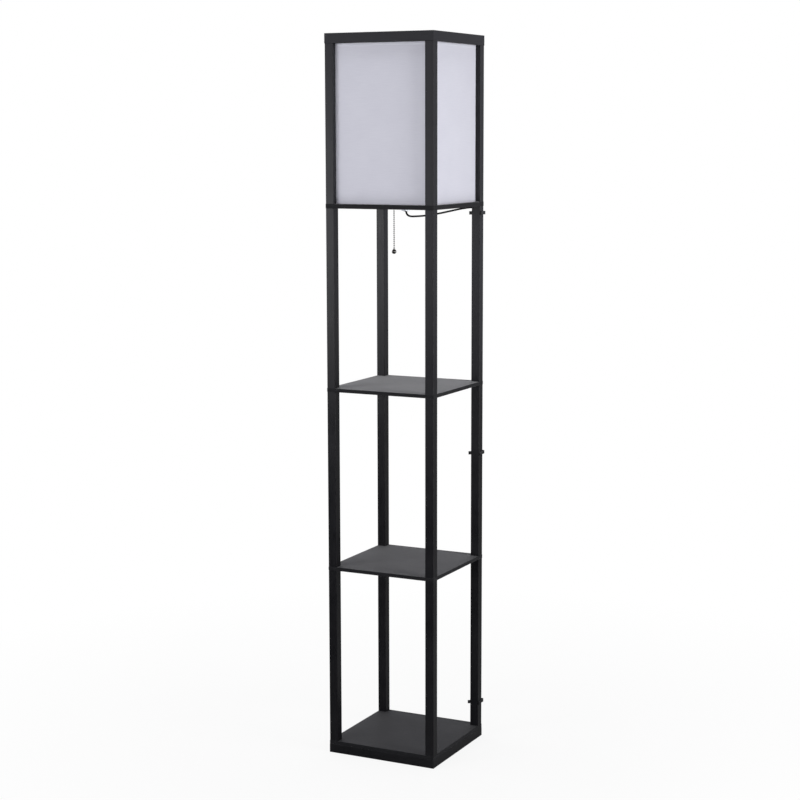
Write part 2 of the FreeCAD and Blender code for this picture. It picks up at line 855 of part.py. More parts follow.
# ---------------------------------------------------------------------------------------------------------
# Bead chain: steel beads on a wire. Two gaps in the wire, one each side of the link bead, are the pivots.
# ---------------------------------------------------------------------------------------------------------
CHAIN_TOP = f"({SHADE_POSTS_Z} + guide_height - guide_bend_radius + chain_top_rise)"
BEADS_ABOVE = round(mm("chain_inside_length") / mm("bead_pitch"))
BEADS_BELOW = round(mm("chain_drop_length") / mm("bead_pitch"))


def bead_run(label, first, count, open_top, open_bottom):
    """Beads number first to first + count - 1, counted down from the guide, on one wire."""
    parts = []
    for i in range(first, first + count):
        bead = doc.addObject("Part::Sphere", f"{label}_bead_{i}")
        bind(bead, "Radius", "bead_radius")
        parts.append(place(bead, "-chain_offset", "0", f"{CHAIN_TOP} - {i} * bead_pitch"))
    top_reach = "(bead_pitch - link_gap) / 2" if open_top else "0"
    bottom_reach = "(bead_pitch - link_gap) / 2" if open_bottom else "0"
    last = first + count - 1
    low = f"{CHAIN_TOP} - {last} * bead_pitch - {bottom_reach}"
    length = f"{count - 1} * bead_pitch + {top_reach} + {bottom_reach}"
    parts.append(cylinder(label + "_wire", "wire_radius", length, "-chain_offset", "0", low))
    return node(fuse(label, parts), label)


bead_run("pull_chain_upper", 0, BEADS_ABOVE, False, True)
bead_run("pull_chain_link", BEADS_ABOVE, 1, True, True)
bead_run("pull_chain_drop", BEADS_ABOVE + 1, BEADS_BELOW, True, False)

LAST_BEAD = BEADS_ABOVE + BEADS_BELOW
BALL_Z = f"({CHAIN_TOP} - {LAST_BEAD} * bead_pitch - bead_radius - ball_neck_height - ball_radius)"
ball = doc.addObject("Part::Sphere", "ball_sphere")
bind(ball, "Radius", "ball_radius")
place(ball, "-chain_offset", "0", BALL_Z)
neck = cylinder(
    "ball_neck",
    "ball_neck_radius",
    "ball_radius + ball_neck_height",
    "-chain_offset",
    "0",
    BALL_Z,
)
node(fuse("pull_ball", [ball, neck]), "pull_ball")


# ---------------------------------------------------------------------------------------------------------
# Bulb: metal screw cap, plastic housing, frosted globe. Heights count from the top of the shade board.
# ---------------------------------------------------------------------------------------------------------
CAP_LOW = "(switch_block_top + contact_height)"
CAP_TOP = f"({CAP_LOW} + bulb_cap_length)"
HOUSING_TOP = f"({CAP_TOP} + bulb_housing_length)"
turned(
    "bulb_cap",
    [
        ("0", CAP_LOW),
        ("3.5", CAP_LOW),
        ("9", f"{CAP_LOW} + 4"),
        ("bulb_cap_radius", f"{CAP_LOW} + 6"),
        ("bulb_cap_radius", CAP_TOP),
        ("0", CAP_TOP),
    ],
    z=SHADE_POSTS_Z,
)
turned(
    "bulb_housing",
    [
        ("0", CAP_TOP),
        ("bulb_cap_radius + 0.6", CAP_TOP),
        ("bulb_cap_radius + 2", f"{CAP_TOP} + 6"),
        ("bulb_globe_radius - 3.6", f"{HOUSING_TOP} - 3"),
        ("bulb_globe_radius - 2", HOUSING_TOP),
        ("0", HOUSING_TOP),
    ],
    z=SHADE_POSTS_Z,
)
globe_body = new_body("bulb_globe")
globe_sketch = new_sketch(globe_body, "GlobeProfile", "XZ_Plane")
housing_top = sum(mm(name) for name in ("switch_block_top", "contact_height", "bulb_cap_length", "bulb_housing_length"))
globe_middle = housing_top + mm("bulb_globe_rise")


def half_round(sketch, inset, tag):
    """An arc about the globe's middle, from its foot over its top, inset from the outer radius."""
    radius = mm("bulb_globe_radius") - inset
    foot_angle = math.asin((housing_top - globe_middle) / radius)
    middle = Vector(0, globe_middle, 0)
    arc = Part.ArcOfCircle(Part.Circle(middle, Vector(0, 0, 1), radius), foot_angle, math.pi / 2)
    index = sketch.addGeometry(arc, False)
    fix_point(sketch, index, 3, tag, "0", f"{HOUSING_TOP} + bulb_globe_rise")
    constraint = sketch.addConstraint(Sketcher.Constraint("Radius", index, radius))
    sketch.renameConstraint(constraint, "r" + tag)
    bind(sketch, "Constraints.r" + tag, "bulb_globe_radius" if inset == 0 else "bulb_globe_radius - bulb_wall")
    sketch.addConstraint(Sketcher.Constraint("PointOnObject", index, 2, -2))
    level = sketch.addConstraint(Sketcher.Constraint("DistanceY", -1, 1, index, 1, housing_top))
    sketch.renameConstraint(level, "low" + tag)
    bind(sketch, "Constraints.low" + tag, HOUSING_TOP)
    return index


outer_arc = half_round(globe_sketch, 0, "Outer")
inner_arc = half_round(globe_sketch, mm("bulb_wall"), "Inner")
for end in (1, 2):
    outer_end = globe_sketch.getPoint(outer_arc, end)
    inner_end = globe_sketch.getPoint(inner_arc, end)
    closing = globe_sketch.addGeometry(Part.LineSegment(outer_end, inner_end), False)
    globe_sketch.addConstraint(Sketcher.Constraint("Coincident", outer_arc, end, closing, 1))
    globe_sketch.addConstraint(Sketcher.Constraint("Coincident", inner_arc, end, closing, 2))
revolve(globe_body, globe_sketch)
node(globe_body, "bulb_globe")
place(globe_body, z=SHADE_POSTS_Z)


# ---------------------------------------------------------------------------------------------------------
# Cable clips: a band that grips the post from behind, with lips that flare at the front and room for the cord
# ---------------------------------------------------------------------------------------------------------
def clip(name, level):
    """One clip about the post's own centre line, open to the front. The level is its middle."""
    body = new_body(name)
    grip = "(post_side / 2 + clip_play)"
    arm = f"({grip} + clip_arm_thick)"
    room = f"({grip} + clip_cord_room)"
    back = f"({room} + clip_back_thick)"
    front = "(-post_side / 2 + 1)"
    lip_front = f"({front} - clip_lip_length)"
    lip_out = f"({grip} + clip_lip)"
    right = [
        (arm, back),
        (arm, front),
        (lip_out, f"{lip_front} + clip_arm_thick / 2"),
        (lip_out, f"{lip_front} - clip_arm_thick / 2"),
        (grip, f"{front} - clip_arm_thick / 2"),
        (grip, grip),
        (grip, room),
    ]
    left = [(f"-({across})", up) for across, up in reversed(right)]
    plan = new_sketch(body, name + "Plan")
    polygon(plan, right + left)
    pad(body, plan, "clip_height")
    place(body, POST_CENTRE, POST_CENTRE, f"{level} - clip_height / 2")
    return body


node(
    gather(
        "cable_clips",
        [
            clip("clip_top", f"{SHADE_BOARD_Z} - clip_top_drop"),
            clip("clip_middle", f"{UPPER_SHELF_Z} - clip_middle_drop"),
            clip("clip_bottom", f"{LOWER_POSTS_Z} + clip_bottom_rise"),
        ],
    ),
    "cable_clips",
)


# ---------------------------------------------------------------------------------------------------------
# Cord: straight runs joined by tangent arcs, swept with a round section
# ---------------------------------------------------------------------------------------------------------
def rounded_route(points):
    """One wire of runs and arcs; each arc is as large as 0.45 of its shorter run allows."""
    points = [Vector(*point) for point in points]
    edges = []
    radii = []
    at = points[0]
    for before, corner, after in zip(points, points[1:], points[2:]):
        back = before - corner
        ahead = after - corner
        turn = math.pi - back.getAngle(ahead)
        reach = 0.45 * min(back.Length, ahead.Length)
        radius = reach / math.tan(turn / 2)
        enter = corner + back.normalize() * reach
        leave = corner + ahead.normalize() * reach
        to_centre = (back + ahead).normalize()
        middle = corner + to_centre * (radius / math.cos(turn / 2) - radius)
        edges.append(Part.LineSegment(at, enter).toShape())
        edges.append(Part.Arc(enter, middle, leave).toShape())
        radii.append(radius)
        at = leave
    edges.append(Part.LineSegment(at, points[-1]).toShape())
    return Part.Wire(edges), radii


def cord_tube(name, points):
    """A solid tube along the rounded route, with its volume checked against section times length."""
    wire, radii = rounded_route(points)
    radius = mm("cord_diameter") / 2
    start = Vector(*points[0])
    section = Part.Wire([Part.Circle(start, Vector(*points[1]) - start, radius).toShape()])
    tube = wire.makePipeShell([section], True, False, 2)
    expected = math.pi * radius**2 * wire.Length
    print(f"{name}: length {wire.Length:.1f} mm, tightest radius {min(radii):.1f} mm,", end=" ")
    print(f"volume {tube.Volume / expected:.4f} of the section times the length")
    print("  radii", " ".join(f"{value:.0f}" for value in radii))
    return tube


def shaped(label, shape):
    """A piece whose shape is set directly."""
    piece = doc.addObject("Part::Feature", label)
    piece.Shape = shape
    node(piece, label)
    return piece


cord_tubes = [cord_tube("power_cord", CORD_ROUTE), cord_tube("cord_tail", TAIL_ROUTE)]
shaped("power_cord", Part.makeCompound(cord_tubes))

# The hank is one closed solid of the outer shape of the folded cord, flat where the cord joins its ends.
hank_x, hank_y = HANK_CENTRE
hank_high = mm("hank_height")
curve = Part.BSplineCurve()
curve.interpolate([Vector(hank_x + x, hank_y + y, 0) for x, y in HANK_OUTLINE], True)
hank = Part.Face(Part.Wire([curve.toShape()])).extrude(Vector(0, 0, hank_high))
reach = mm("hank_reach")
half_deep = 2 * max(y for x, y in HANK_OUTLINE)
trim = Part.makeBox(2 * reach, 2 * half_deep, hank_high, Vector(hank_x - reach, hank_y - half_deep, 0))
hank = hank.common(trim)

# The tie is a flat strap round the hank's middle, where the hank is notched to take it.
waist = max(y for x, y in HANK_OUTLINE if x == 0)
strap = mm("tie_thick")
play = mm("tie_play")
tie_half = mm("tie_width") / 2


def block_at_waist(half_long, half_wide, low, high):
    corner = Vector(hank_x - half_long, hank_y - half_wide, low)
    return Part.makeBox(2 * half_long, 2 * half_wide, high - low, corner)


window_half = waist + play
tie = block_at_waist(tie_half, window_half + strap, 0, hank_high + strap)
shaped("cord_tie", tie.cut(block_at_waist(tie_half, window_half, strap, hank_high)))
middle = block_at_waist(tie_half + play, 3 * waist, 0, hank_high)
kept = block_at_waist(tie_half + play, waist, strap + play, hank_high - play)
shaped("cord_hank", hank.cut(middle.cut(kept)))

# The plug lies flat on the floor beside the hank, its blades pointing to the left. The cord enters its boot.
plug_end = TAIL_ROUTE[-1]
plug_axis = mm("plug_height") / 2
half_width = mm("plug_width") / 2
block_end = plug_end[0] - mm("plug_boot_length")
plug_block = Part.makeBox(
    mm("plug_length"),
    mm("plug_width"),
    mm("plug_height"),
    Vector(block_end - mm("plug_length"), plug_end[1] - half_width, 0),
)
side_edges = [edge for edge in plug_block.Edges if runs_along(edge, 0)]
plug_block = plug_block.makeFillet(mm("plug_height") * 0.3, side_edges)
boot = Part.makeCone(
    mm("plug_boot_radius"),
    plug_axis * 0.85,
    mm("plug_boot_length"),
    Vector(plug_end[0], plug_end[1], plug_axis),
    Vector(-1, 0, 0),
)
plug_solid = plug_block.fuse(boot)
blades = []
blade_start = block_end - mm("plug_length") - mm("blade_length")
blade_whole = mm("blade_length") + mm("blade_seat")
for direction in (-1, 1):
    centre = plug_end[1] + direction * mm("blade_spacing") / 2
    low = Vector(blade_start, centre - mm("blade_thick") / 2, plug_axis - mm("blade_width") / 2)
    blades.append(Part.makeBox(blade_whole, mm("blade_thick"), mm("blade_width"), low))
shaped("plug_blades", Part.makeCompound(blades))
shaped("plug_body", plug_solid.cut(blades))


# ---------------------------------------------------------------------------------------------------------
# Check every object, then write one file per piece
# ---------------------------------------------------------------------------------------------------------
doc.recompute()
for item in doc.Objects:
    trouble = [flag for flag in item.State if flag in ("Invalid", "Error")]
    if trouble:
        raise RuntimeError(f"{item.Label} is {trouble}")
os.makedirs("parts", exist_ok=True)
for piece in NODES:
    shape = piece.Shape
    if shape.isNull() or not shape.isValid():
        raise RuntimeError(f"{piece.Label} has no valid shape")
    shape.exportStep(os.path.join("parts", piece.Label + ".step"))
print(f"{len(NODES)} pieces, {sum(len(piece.Shape.Solids) for piece in NODES)} solids")
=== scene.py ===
# %% [markdown]
# # A shelf floor lamp, dressed for the camera
#
# The lamp is a tower of black posts and boards with a shade of white fabric panels on top. Its measured
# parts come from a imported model, in metres, with the floor at z = 0 and the front towards -Y. This lesson
# adds what the measured parts lack: a studio, finishes, and the pieces whose looks need soft or fine shapes.

import json
import math

import bmesh
import bpy
from mathutils import Matrix, Vector, noise


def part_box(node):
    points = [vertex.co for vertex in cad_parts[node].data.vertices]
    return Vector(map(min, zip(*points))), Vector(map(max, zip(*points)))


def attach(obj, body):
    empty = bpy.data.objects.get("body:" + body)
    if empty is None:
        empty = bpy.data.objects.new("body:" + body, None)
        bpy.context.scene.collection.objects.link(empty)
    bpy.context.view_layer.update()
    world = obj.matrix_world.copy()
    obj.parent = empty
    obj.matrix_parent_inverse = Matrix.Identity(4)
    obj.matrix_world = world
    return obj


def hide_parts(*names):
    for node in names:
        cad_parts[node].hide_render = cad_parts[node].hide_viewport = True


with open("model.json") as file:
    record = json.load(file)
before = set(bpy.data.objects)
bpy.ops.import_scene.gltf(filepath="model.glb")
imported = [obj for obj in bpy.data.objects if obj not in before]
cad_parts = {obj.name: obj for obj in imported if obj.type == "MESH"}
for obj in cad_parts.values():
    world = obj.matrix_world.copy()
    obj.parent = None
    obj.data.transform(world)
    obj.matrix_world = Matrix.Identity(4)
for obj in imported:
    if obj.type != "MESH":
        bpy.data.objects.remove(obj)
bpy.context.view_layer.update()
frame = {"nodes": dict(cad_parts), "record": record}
nodes = frame["nodes"]

# %% [markdown]
# ## Camera
#
# The photograph was taken from the lamp's right, at the height of its shade, with a long lens. A camera is a
# position, a direction and a focal length. It could be aimed by a constraint at an empty, but what the
# photograph gave is its heading, tilt and roll. So the direction is built from them, and the two side axes
# follow from cross products.

# %% Camera
CAMERA_PLACE = Vector((1.82819, -3.68125, 1.39005))
CAMERA_HEADING = 0.46427
CAMERA_TILT = -0.14335
CAMERA_ROLL = -0.00239
LENS_MM = 83.58


def look_direction(heading, tilt):
    """A unit vector: heading turns from +Y towards -X, tilt lifts it."""
    level = math.cos(tilt)
    return Vector((-math.sin(heading) * level, math.cos(heading) * level, math.sin(tilt)))


def aim(place, forward, roll=0.0):
    """A camera or lamp matrix that looks along forward, with Z up in its picture."""
    right = forward.cross(Vector((0, 0, 1))).normalized()
    up = right.cross(forward)
    tilted_right = right * math.cos(roll) + up * math.sin(roll)
    tilted_up = up * math.cos(roll) - right * math.sin(roll)
    turn = Matrix((tilted_right, tilted_up, -forward)).transposed()
    return Matrix.Translation(place) @ turn.to_4x4()


camera_data = bpy.data.cameras.new("camera")
camera_data.lens = LENS_MM
camera_data.sensor_width = 36.0
camera = bpy.data.objects.new("camera", camera_data)
bpy.context.scene.collection.objects.link(camera)
camera.matrix_world = aim(CAMERA_PLACE, look_direction(CAMERA_HEADING, CAMERA_TILT), CAMERA_ROLL)
bpy.context.scene.camera = camera
print("camera at", tuple(round(value, 3) for value in CAMERA_PLACE))

# %% [markdown]
# ## Power cord
#
# The cord is a soft round lamp cord. It leaves a bush in the middle of the shade's floor board, sags to the
# rear right post, goes over the top clip and down the post's back, and its spare length lies behind the base
# as a hank held by a tie. It could be a mesh tube, but a curve with a round bevel needs only the few points
# below, which the measured tube is built on too. A NURBS line of order 3 runs smoothly between them.

# %% The cord's path
MM = 0.001
CORD_DIAMETER = 4.2 * MM
CORD_ROUTE = [
    (0.0, 0.0, 1225.2),
    (0.0, 0.0, 1213.5),
    (4.8, 6.7, 1205.2),
    (16.2, 22.7, 1205.2),
    (29.0, 40.7, 1206.2),
    (47.6, 66.8, 1209.8),
    (65.0, 91.2, 1214.9),
    (81.3, 114.0, 1219.6),
    (95.4, 133.8, 1222.3),
    (110.3, 133.8, 1221.7),
    (118.6, 133.3, 1213.3),
    (119.8, 133.1, 1195.0),
    (120.7, 133.0, 1164.0),
    (120.3, 133.3, 1112.0),
    (119.1, 133.6, 1053.0),
    (118.3, 133.6, 991.0),
    (118.2, 133.3, 929.0),
    (118.9, 133.0, 867.0),
    (120.1, 132.9, 805.0),
    (121.3, 132.9, 743.0),
    (121.8, 133.0, 681.0),
    (121.4, 133.3, 619.0),
    (120.3, 133.6, 557.0),
    (119.1, 133.7, 495.0),
    (118.4, 133.6, 433.0),
    (118.4, 133.3, 371.0),
    (119.1, 133.0, 309.0),
    (120.2, 132.9, 247.0),
    (121.1, 132.9, 185.0),
    (121.5, 133.0, 125.0),
    (121.1, 133.3, 75.0),
    (119.6, 134.6, 39.0),
    (114.4, 137.7, 17.2),
    (104.0, 143.4, 5.8),
    (90.5, 149.6, 2.4),
    (76.0, 151.5, 2.2),
    (61.0, 151.5, 2.2),
]
TAIL_ROUTE = [
    (-21.0, 151.5, 10.8),
    (-29.0, 151.5, 10.4),
    (-40.0, 150.4, 6.6),
    (-50.5, 150.2, 6.25),
]
print(len(CORD_ROUTE), "points lead to the hank, and", len(TAIL_ROUTE), "from it to the plug")

# %% [markdown]
# The hank's turns are more points of the same curve. Each turn runs through the tie in the middle, round one
# lobe, back through the tie and round the other lobe, and the next turn lies on top of it. A lobe could be an
# arc, but a NURBS line cuts its corners. So it is walked in equal steps, because then the line bends evenly:
# each step has its heading, and the second half mirrors the first. The lobes differ a little in length and
# lean, because nothing holds them there.

# %% The hank's turns
# Lengths are in millimetres and turns in degrees, all seen from above.
HANK_CENTRE = (20.0, 151.5)
FIRST_LAYER = 2.15
LAYER_HEIGHT = 4.3
LOBE_RADIUS = 13.8
LOBE_TURN = 30.0
LOBE_STEP = 2 * LOBE_RADIUS * math.sin(math.radians(LOBE_TURN / 2))
LOBE_HEADINGS = (12.3, 25.5, 45.0, 15.0, -15.0, -45.0, -75.0)
STRAND_FROM_MIDDLE = 2.3
STRETCH_STEPS = 3
CLIMB_STEPS = 5
LEAN_LENGTH = 40.0
# The cord's way into the hank and out of it, as seen from the hank's centre.
WAY_IN = ((30.0, 0.5, 2.2), (18.0, 1.7, 2.15), (9.0, 2.3, 2.15))
WAY_OUT = ((-6.0, 2.3, 10.75), (-17.0, 1.6, 10.8), (-29.0, 0.5, 10.8))
# Each lobe's side, -1 for left, then its first and last layer, how much longer it is, and how it leans.
LOBES = ((-1, 0, 0, 0.0, 0.0), (1, 0, 1, -0.3, 0.5), (-1, 1, 1, -0.5, -0.8), (1, 1, 2, 0.3, -0.5))


def lobe_outline(longer):
    """Half a turn as seen from above, out from the tie, round the lobe and back."""
    out, across = LOBE_STEP / 2, STRAND_FROM_MIDDLE
    points = [(out, across)]
    for heading in LOBE_HEADINGS:
        out += LOBE_STEP * math.cos(math.radians(heading))
        across += LOBE_STEP * math.sin(math.radians(heading))
        points.append((out + longer * min(1.0, len(points) / STRETCH_STEPS), across))
    return points + [(out, -across) for out, across in reversed(points[:-1])]


def lobe(side, first_layer, last_layer, longer, lean):
    """One lobe, which climbs from its first layer to its last on its way out."""
    low = FIRST_LAYER + LAYER_HEIGHT * first_layer
    high = FIRST_LAYER + LAYER_HEIGHT * last_layer
    points = []
    for step, (out, across) in enumerate(lobe_outline(longer)):
        x = HANK_CENTRE[0] + side * out
        y = HANK_CENTRE[1] - side * across + lean * out / LEAN_LENGTH
        points.append((x, y, low + (high - low) * min(1.0, step / CLIMB_STEPS)))
    return points


def from_hank_centre(offsets):
    """Places given from the hank's centre, as points of the cord."""
    return [(HANK_CENTRE[0] + x, HANK_CENTRE[1] + y, z) for x, y, z in offsets]


hank_points = from_hank_centre(WAY_IN)
for lobe_shape in LOBES:
    hank_points += lobe(*lobe_shape)
hank_points += from_hank_centre(WAY_OUT)
print(len(hank_points), "points in the hank's", len(LOBES), "lobes")

# %% [markdown]
# One NURBS spline follows the whole route. Its thickness could be the curve's bevel depth, but it sits in the
# points' own radius here, because a curve's box is drawn that far round its points.

# %% The cord's curve
CURVE_SMOOTHNESS = 8


def smooth_line(name, points_mm, diameter):
    """A round cord along a NURBS line whose control points are given in millimetres."""
    curve = bpy.data.curves.new(name, "CURVE")
    curve.dimensions = "3D"
    spline = curve.splines.new("NURBS")
    spline.points.add(len(points_mm) - 1)
    for point, place in zip(spline.points, points_mm):
        point.co = (place[0] * MM, place[1] * MM, place[2] * MM, 1.0)
        point.radius = diameter / 2
    spline.order_u = 3
    spline.use_endpoint_u = True
    spline.resolution_u = CURVE_SMOOTHNESS
    curve.bevel_depth = 1.0
    curve.bevel_resolution = 3
    curve.use_fill_caps = True
    piece = bpy.data.objects.new(name, curve)
    bpy.context.scene.collection.objects.link(piece)
    return piece


flex = smooth_line("lamp_cord", CORD_ROUTE + hank_points + TAIL_ROUTE, CORD_DIAMETER)
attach(flex, "lamp")
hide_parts("power_cord", "cord_hank")
print("cord: one spline of", len(flex.data.splines[0].points), "points")

# %% [markdown]
# ## Small helpers for solid pieces
#
# Some pieces are turned, like the bulb, some are trimmed blocks, like the plug, and some are cut from a flat
# shape, like a clip. They could be moulded by hand in the mesh editor. A bmesh is that editor as code: it
# starts from a cube, a grid or a few vertices, and operators shape it. All are drawn in millimetres.

# %% Blocks and turned shapes
TOUCHING = 0.001


def add_block(shape, low, high):
    """A rectangular block between two corners."""
    size = [b - a for a, b in zip(low, high)]
    centre = [(a + b) / 2 for a, b in zip(low, high)]
    bmesh.ops.create_cube(shape, size=1.0, matrix=Matrix.Translation(centre) @ Matrix.Diagonal((*size, 1.0)))


def turned(profile, steps=48):
    """Spins (radius, height) points, in order along the surface, about the upright axis."""
    shape = bmesh.new()
    chain = [shape.verts.new((radius, 0.0, height)) for radius, height in profile]
    edges = [shape.edges.new(pair) for pair in zip(chain, chain[1:])]
    bmesh.ops.spin(
        shape,
        geom=chain + edges,
        cent=(0, 0, 0),
        axis=(0, 0, 1),
        angle=2 * math.pi,
        steps=steps,
        use_merge=True,
    )
    bmesh.ops.remove_doubles(shape, verts=shape.verts, dist=TOUCHING)
    return shape


def join(target, part, place):
    """Moves one bmesh to its place and adds it to another."""
    bmesh.ops.transform(part, matrix=place, verts=part.verts)
    holder = bpy.data.meshes.new("part")
    part.to_mesh(holder)
    part.free()
    target.from_mesh(holder)
    bpy.data.meshes.remove(holder)


# %% [markdown]
# No moulded or stamped edge is razor sharp, so each gets a bevel. A Bevel modifier would give them all one
# radius. The operator is given its edges, so every group of them can have a radius of its own.

# %% Edges and bevels
SHORTEST_EDGE = 1.0
SHARP_DEGREES = 60


def edges_along(shape, axis):
    """The edges that reach more than a little way along an axis (0, 1 or 2)."""
    return [edge for edge in shape.edges if abs((edge.verts[0].co - edge.verts[1].co)[axis]) > SHORTEST_EDGE]


def sharp_edges(shape, angle_degrees=SHARP_DEGREES):
    """The edges whose faces meet at more than an angle."""
    limit = math.radians(angle_degrees)
    return [edge for edge in shape.edges if len(edge.link_faces) == 2 and edge.calc_face_angle(0) > limit]


def bevel(shape, edges, size, segments):
    """Rounds some edges to a radius."""
    bmesh.ops.bevel(
        shape,
        geom=list(edges),
        offset=size,
        offset_type="OFFSET",
        segments=segments,
        profile=0.5,
        affect="EDGES",
        material=-1,
        clamp_overlap=True,
    )


# %% [markdown]
# A new piece takes its place from the measured one that it stands for, so the frame is asked for that box. A
# finished bmesh then becomes an object at the origin, because that is how the measured pieces are kept.

# %% From a bmesh to a piece
SMOOTH_BELOW = math.radians(40)


def span_mm(node):
    """The lowest and highest corners of a measured piece's box, in millimetres."""
    low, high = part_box(node)
    return low / MM, high / MM


def make_piece(name, shape, body, replaced=()):
    """Turns a bmesh in millimetres into a piece that rides on a body and stands for measured pieces."""
    bmesh.ops.recalc_face_normals(shape, faces=shape.faces)
    bmesh.ops.scale(shape, verts=shape.verts, vec=(MM, MM, MM))
    mesh = bpy.data.meshes.new(name)
    shape.to_mesh(mesh)
    shape.free()
    mesh.polygons.foreach_set("use_smooth", [True] * len(mesh.polygons))
    mesh.set_sharp_from_angle(angle=SMOOTH_BELOW)
    piece = bpy.data.objects.new(name, mesh)
    bpy.context.scene.collection.objects.link(piece)
    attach(piece, body)
    if replaced:
        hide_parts(*replaced)
    print(f"{name}: {len(mesh.polygons)} faces")
    return piece


board_low, board_high = span_mm("shade_board")
print("the shade's floor board is", round(board_high.x - board_low.x, 1), "mm wide")

# %% [markdown]
# ## Plug
#
# The cord ends in a flat moulded two-pin plug that lies on the floor behind the base. Its body is one soft
# block with finger grooves on its sides, and a ribbed boot tapers from it to the cord. The block could be
# sculpted, but a cube with loops cut across it is enough: a short list says how wide and tall each loop is,
# and subdivision rounds them.

# %% Plug block
BOOT_LENGTH = 14.0
PLUG_CORNER = 3.4
# Along the plug from its face: the share of its length, and how wide and tall it is there.
PLUG_SECTIONS = (
    (0.0, 0.94, 0.94),
    (0.03, 0.98, 0.98),
    (0.10, 1.0, 1.0),
    (0.30, 1.0, 1.0),
    (0.34, 0.93, 1.0),
    (0.38, 0.93, 1.0),
    (0.42, 1.0, 1.0),
    (0.48, 1.0, 1.0),
    (0.52, 0.92, 1.0),
    (0.56, 0.92, 1.0),
    (0.60, 0.98, 1.0),
    (0.66, 0.97, 0.99),
    (0.70, 0.88, 0.98),
    (0.74, 0.88, 0.97),
    (0.79, 0.91, 0.95),
    (0.90, 0.78, 0.88),
    (1.0, 0.66, 0.80),
)
boot_tip = TAIL_ROUTE[-1]
plug_low, plug_high = span_mm("plug_body")
block_right = boot_tip[0] - BOOT_LENGTH
plug_y, plug_z = boot_tip[1], boot_tip[2]
plug_length = block_right - plug_low.x

plug_shape = bmesh.new()
add_block(plug_shape, (plug_low.x, plug_low.y, 0.0), (block_right, plug_high.y, plug_high.z))
bevel(plug_shape, edges_along(plug_shape, 0), PLUG_CORNER, segments=4)
for share, _, _ in PLUG_SECTIONS[1:-1]:
    everything = plug_shape.verts[:] + plug_shape.edges[:] + plug_shape.faces[:]
    place = (plug_low.x + share * plug_length, 0, 0)
    bmesh.ops.bisect_plane(plug_shape, geom=everything, plane_co=place, plane_no=(1, 0, 0))
for vert in plug_shape.verts:
    share = (vert.co.x - plug_low.x) / plug_length
    wide, tall = min(PLUG_SECTIONS, key=lambda section: abs(section[0] - share))[1:]
    vert.co.y = plug_y + (vert.co.y - plug_y) * wide
    vert.co.z = plug_z + (vert.co.z - plug_z) * tall
print("plug block:", round(plug_length, 1), "mm long,", len(PLUG_SECTIONS), "sections")

# %% [markdown]
# The boot is soft and bends with the cord, so it is cut into ribs. It is turned from one profile: each rib is
# a step out and a step back in, and every rib is a little thinner than the one before it.

# %% Plug boot
BOOT_RIBS = 5
BOOT_THICK = 5.2
BOOT_THIN = 3.2
BOOT_END = 3.0
GROOVE_DEPTH = 0.5
RIB_END = 1.7
GROOVE_START = 1.9
GROOVE_END = 2.6
BOOT_OVERLAP = 0.1

boot_profile = [(0.0, 0.0)]
for rib in range(BOOT_RIBS):
    near = BOOT_LENGTH * rib / BOOT_RIBS
    radius = BOOT_THICK - (BOOT_THICK - BOOT_THIN) * rib / (BOOT_RIBS - 1)
    boot_profile += [(radius, near), (radius, near + RIB_END)]
    boot_profile += [(radius - GROOVE_DEPTH, near + along) for along in (GROOVE_START, GROOVE_END)]
boot_profile += [(BOOT_END, BOOT_LENGTH), (0.0, BOOT_LENGTH)]
along_x = Matrix.Rotation(math.radians(90), 4, "Y")
boot_place = Matrix.Translation((block_right - BOOT_OVERLAP, plug_y, plug_z)) @ along_x
join(plug_shape, turned(boot_profile, steps=24), boot_place)
plug = make_piece("plug", plug_shape, "lamp", ["plug_body"])
rounding = plug.modifiers.new("rounding", "SUBSURF")
rounding.levels = rounding.render_levels = 2

# %% [markdown]
# The two pins are stamped brass strips. Each could be an outline pushed out, but a block with its tip edges
# rounded does as well, and a light bevel on every other edge takes off the razor edge that no real pin has.

# %% Plug pins
PIN_SPACING = 12.7
PIN_THICKNESS = 1.5
PIN_TIP = 1.6
PIN_INSIDE = 1.0
WORN_EDGE = 0.2
pin_low, pin_high = span_mm("plug_blades")
pin_shape = bmesh.new()
for side in (-1, 1):
    pin_y = plug_y + side * PIN_SPACING / 2
    near_corner = (pin_low.x, pin_y - PIN_THICKNESS / 2, pin_low.z)
    far_corner = (plug_low.x + PIN_INSIDE, pin_y + PIN_THICKNESS / 2, pin_high.z)
    add_block(pin_shape, near_corner, far_corner)
tip_corners = [edge for edge in edges_along(pin_shape, 1) if abs(edge.verts[0].co.x - pin_low.x) < 0.01]
bevel(pin_shape, tip_corners, PIN_TIP, segments=4)
bevel(pin_shape, sharp_edges(pin_shape), WORN_EDGE, segments=1)
pins = make_piece("plug_pins", pin_shape, "lamp", ["plug_blades"])

# %% [markdown]
# ## Hank tie
#
# A flat rubber strap goes once round the hank and holds its turns together. It could be a bent strip, but a
# block without ends is already closed. Its long edges are rounded, and then it gets the strap's thickness.

# %% Hank tie
STRAP_THICKNESS = 0.9
STRAP_CORNER = 3.0
tie_low, tie_high = span_mm("cord_tie")
tie_shape = bmesh.new()
add_block(tie_shape, tie_low, tie_high)
ends = [face for face in tie_shape.faces if abs(face.normal.x) > 0.9]
bmesh.ops.delete(tie_shape, geom=ends, context="FACES_ONLY")
bevel(tie_shape, edges_along(tie_shape, 0), STRAP_CORNER, segments=5)
bmesh.ops.recalc_face_normals(tie_shape, faces=tie_shape.faces)
bmesh.ops.solidify(tie_shape, geom=tie_shape.faces[:], thickness=STRAP_THICKNESS)
bevel(tie_shape, sharp_edges(tie_shape), WORN_EDGE, segments=2)
tie = make_piece("hank_tie", tie_shape, "lamp", ["cord_tie"])

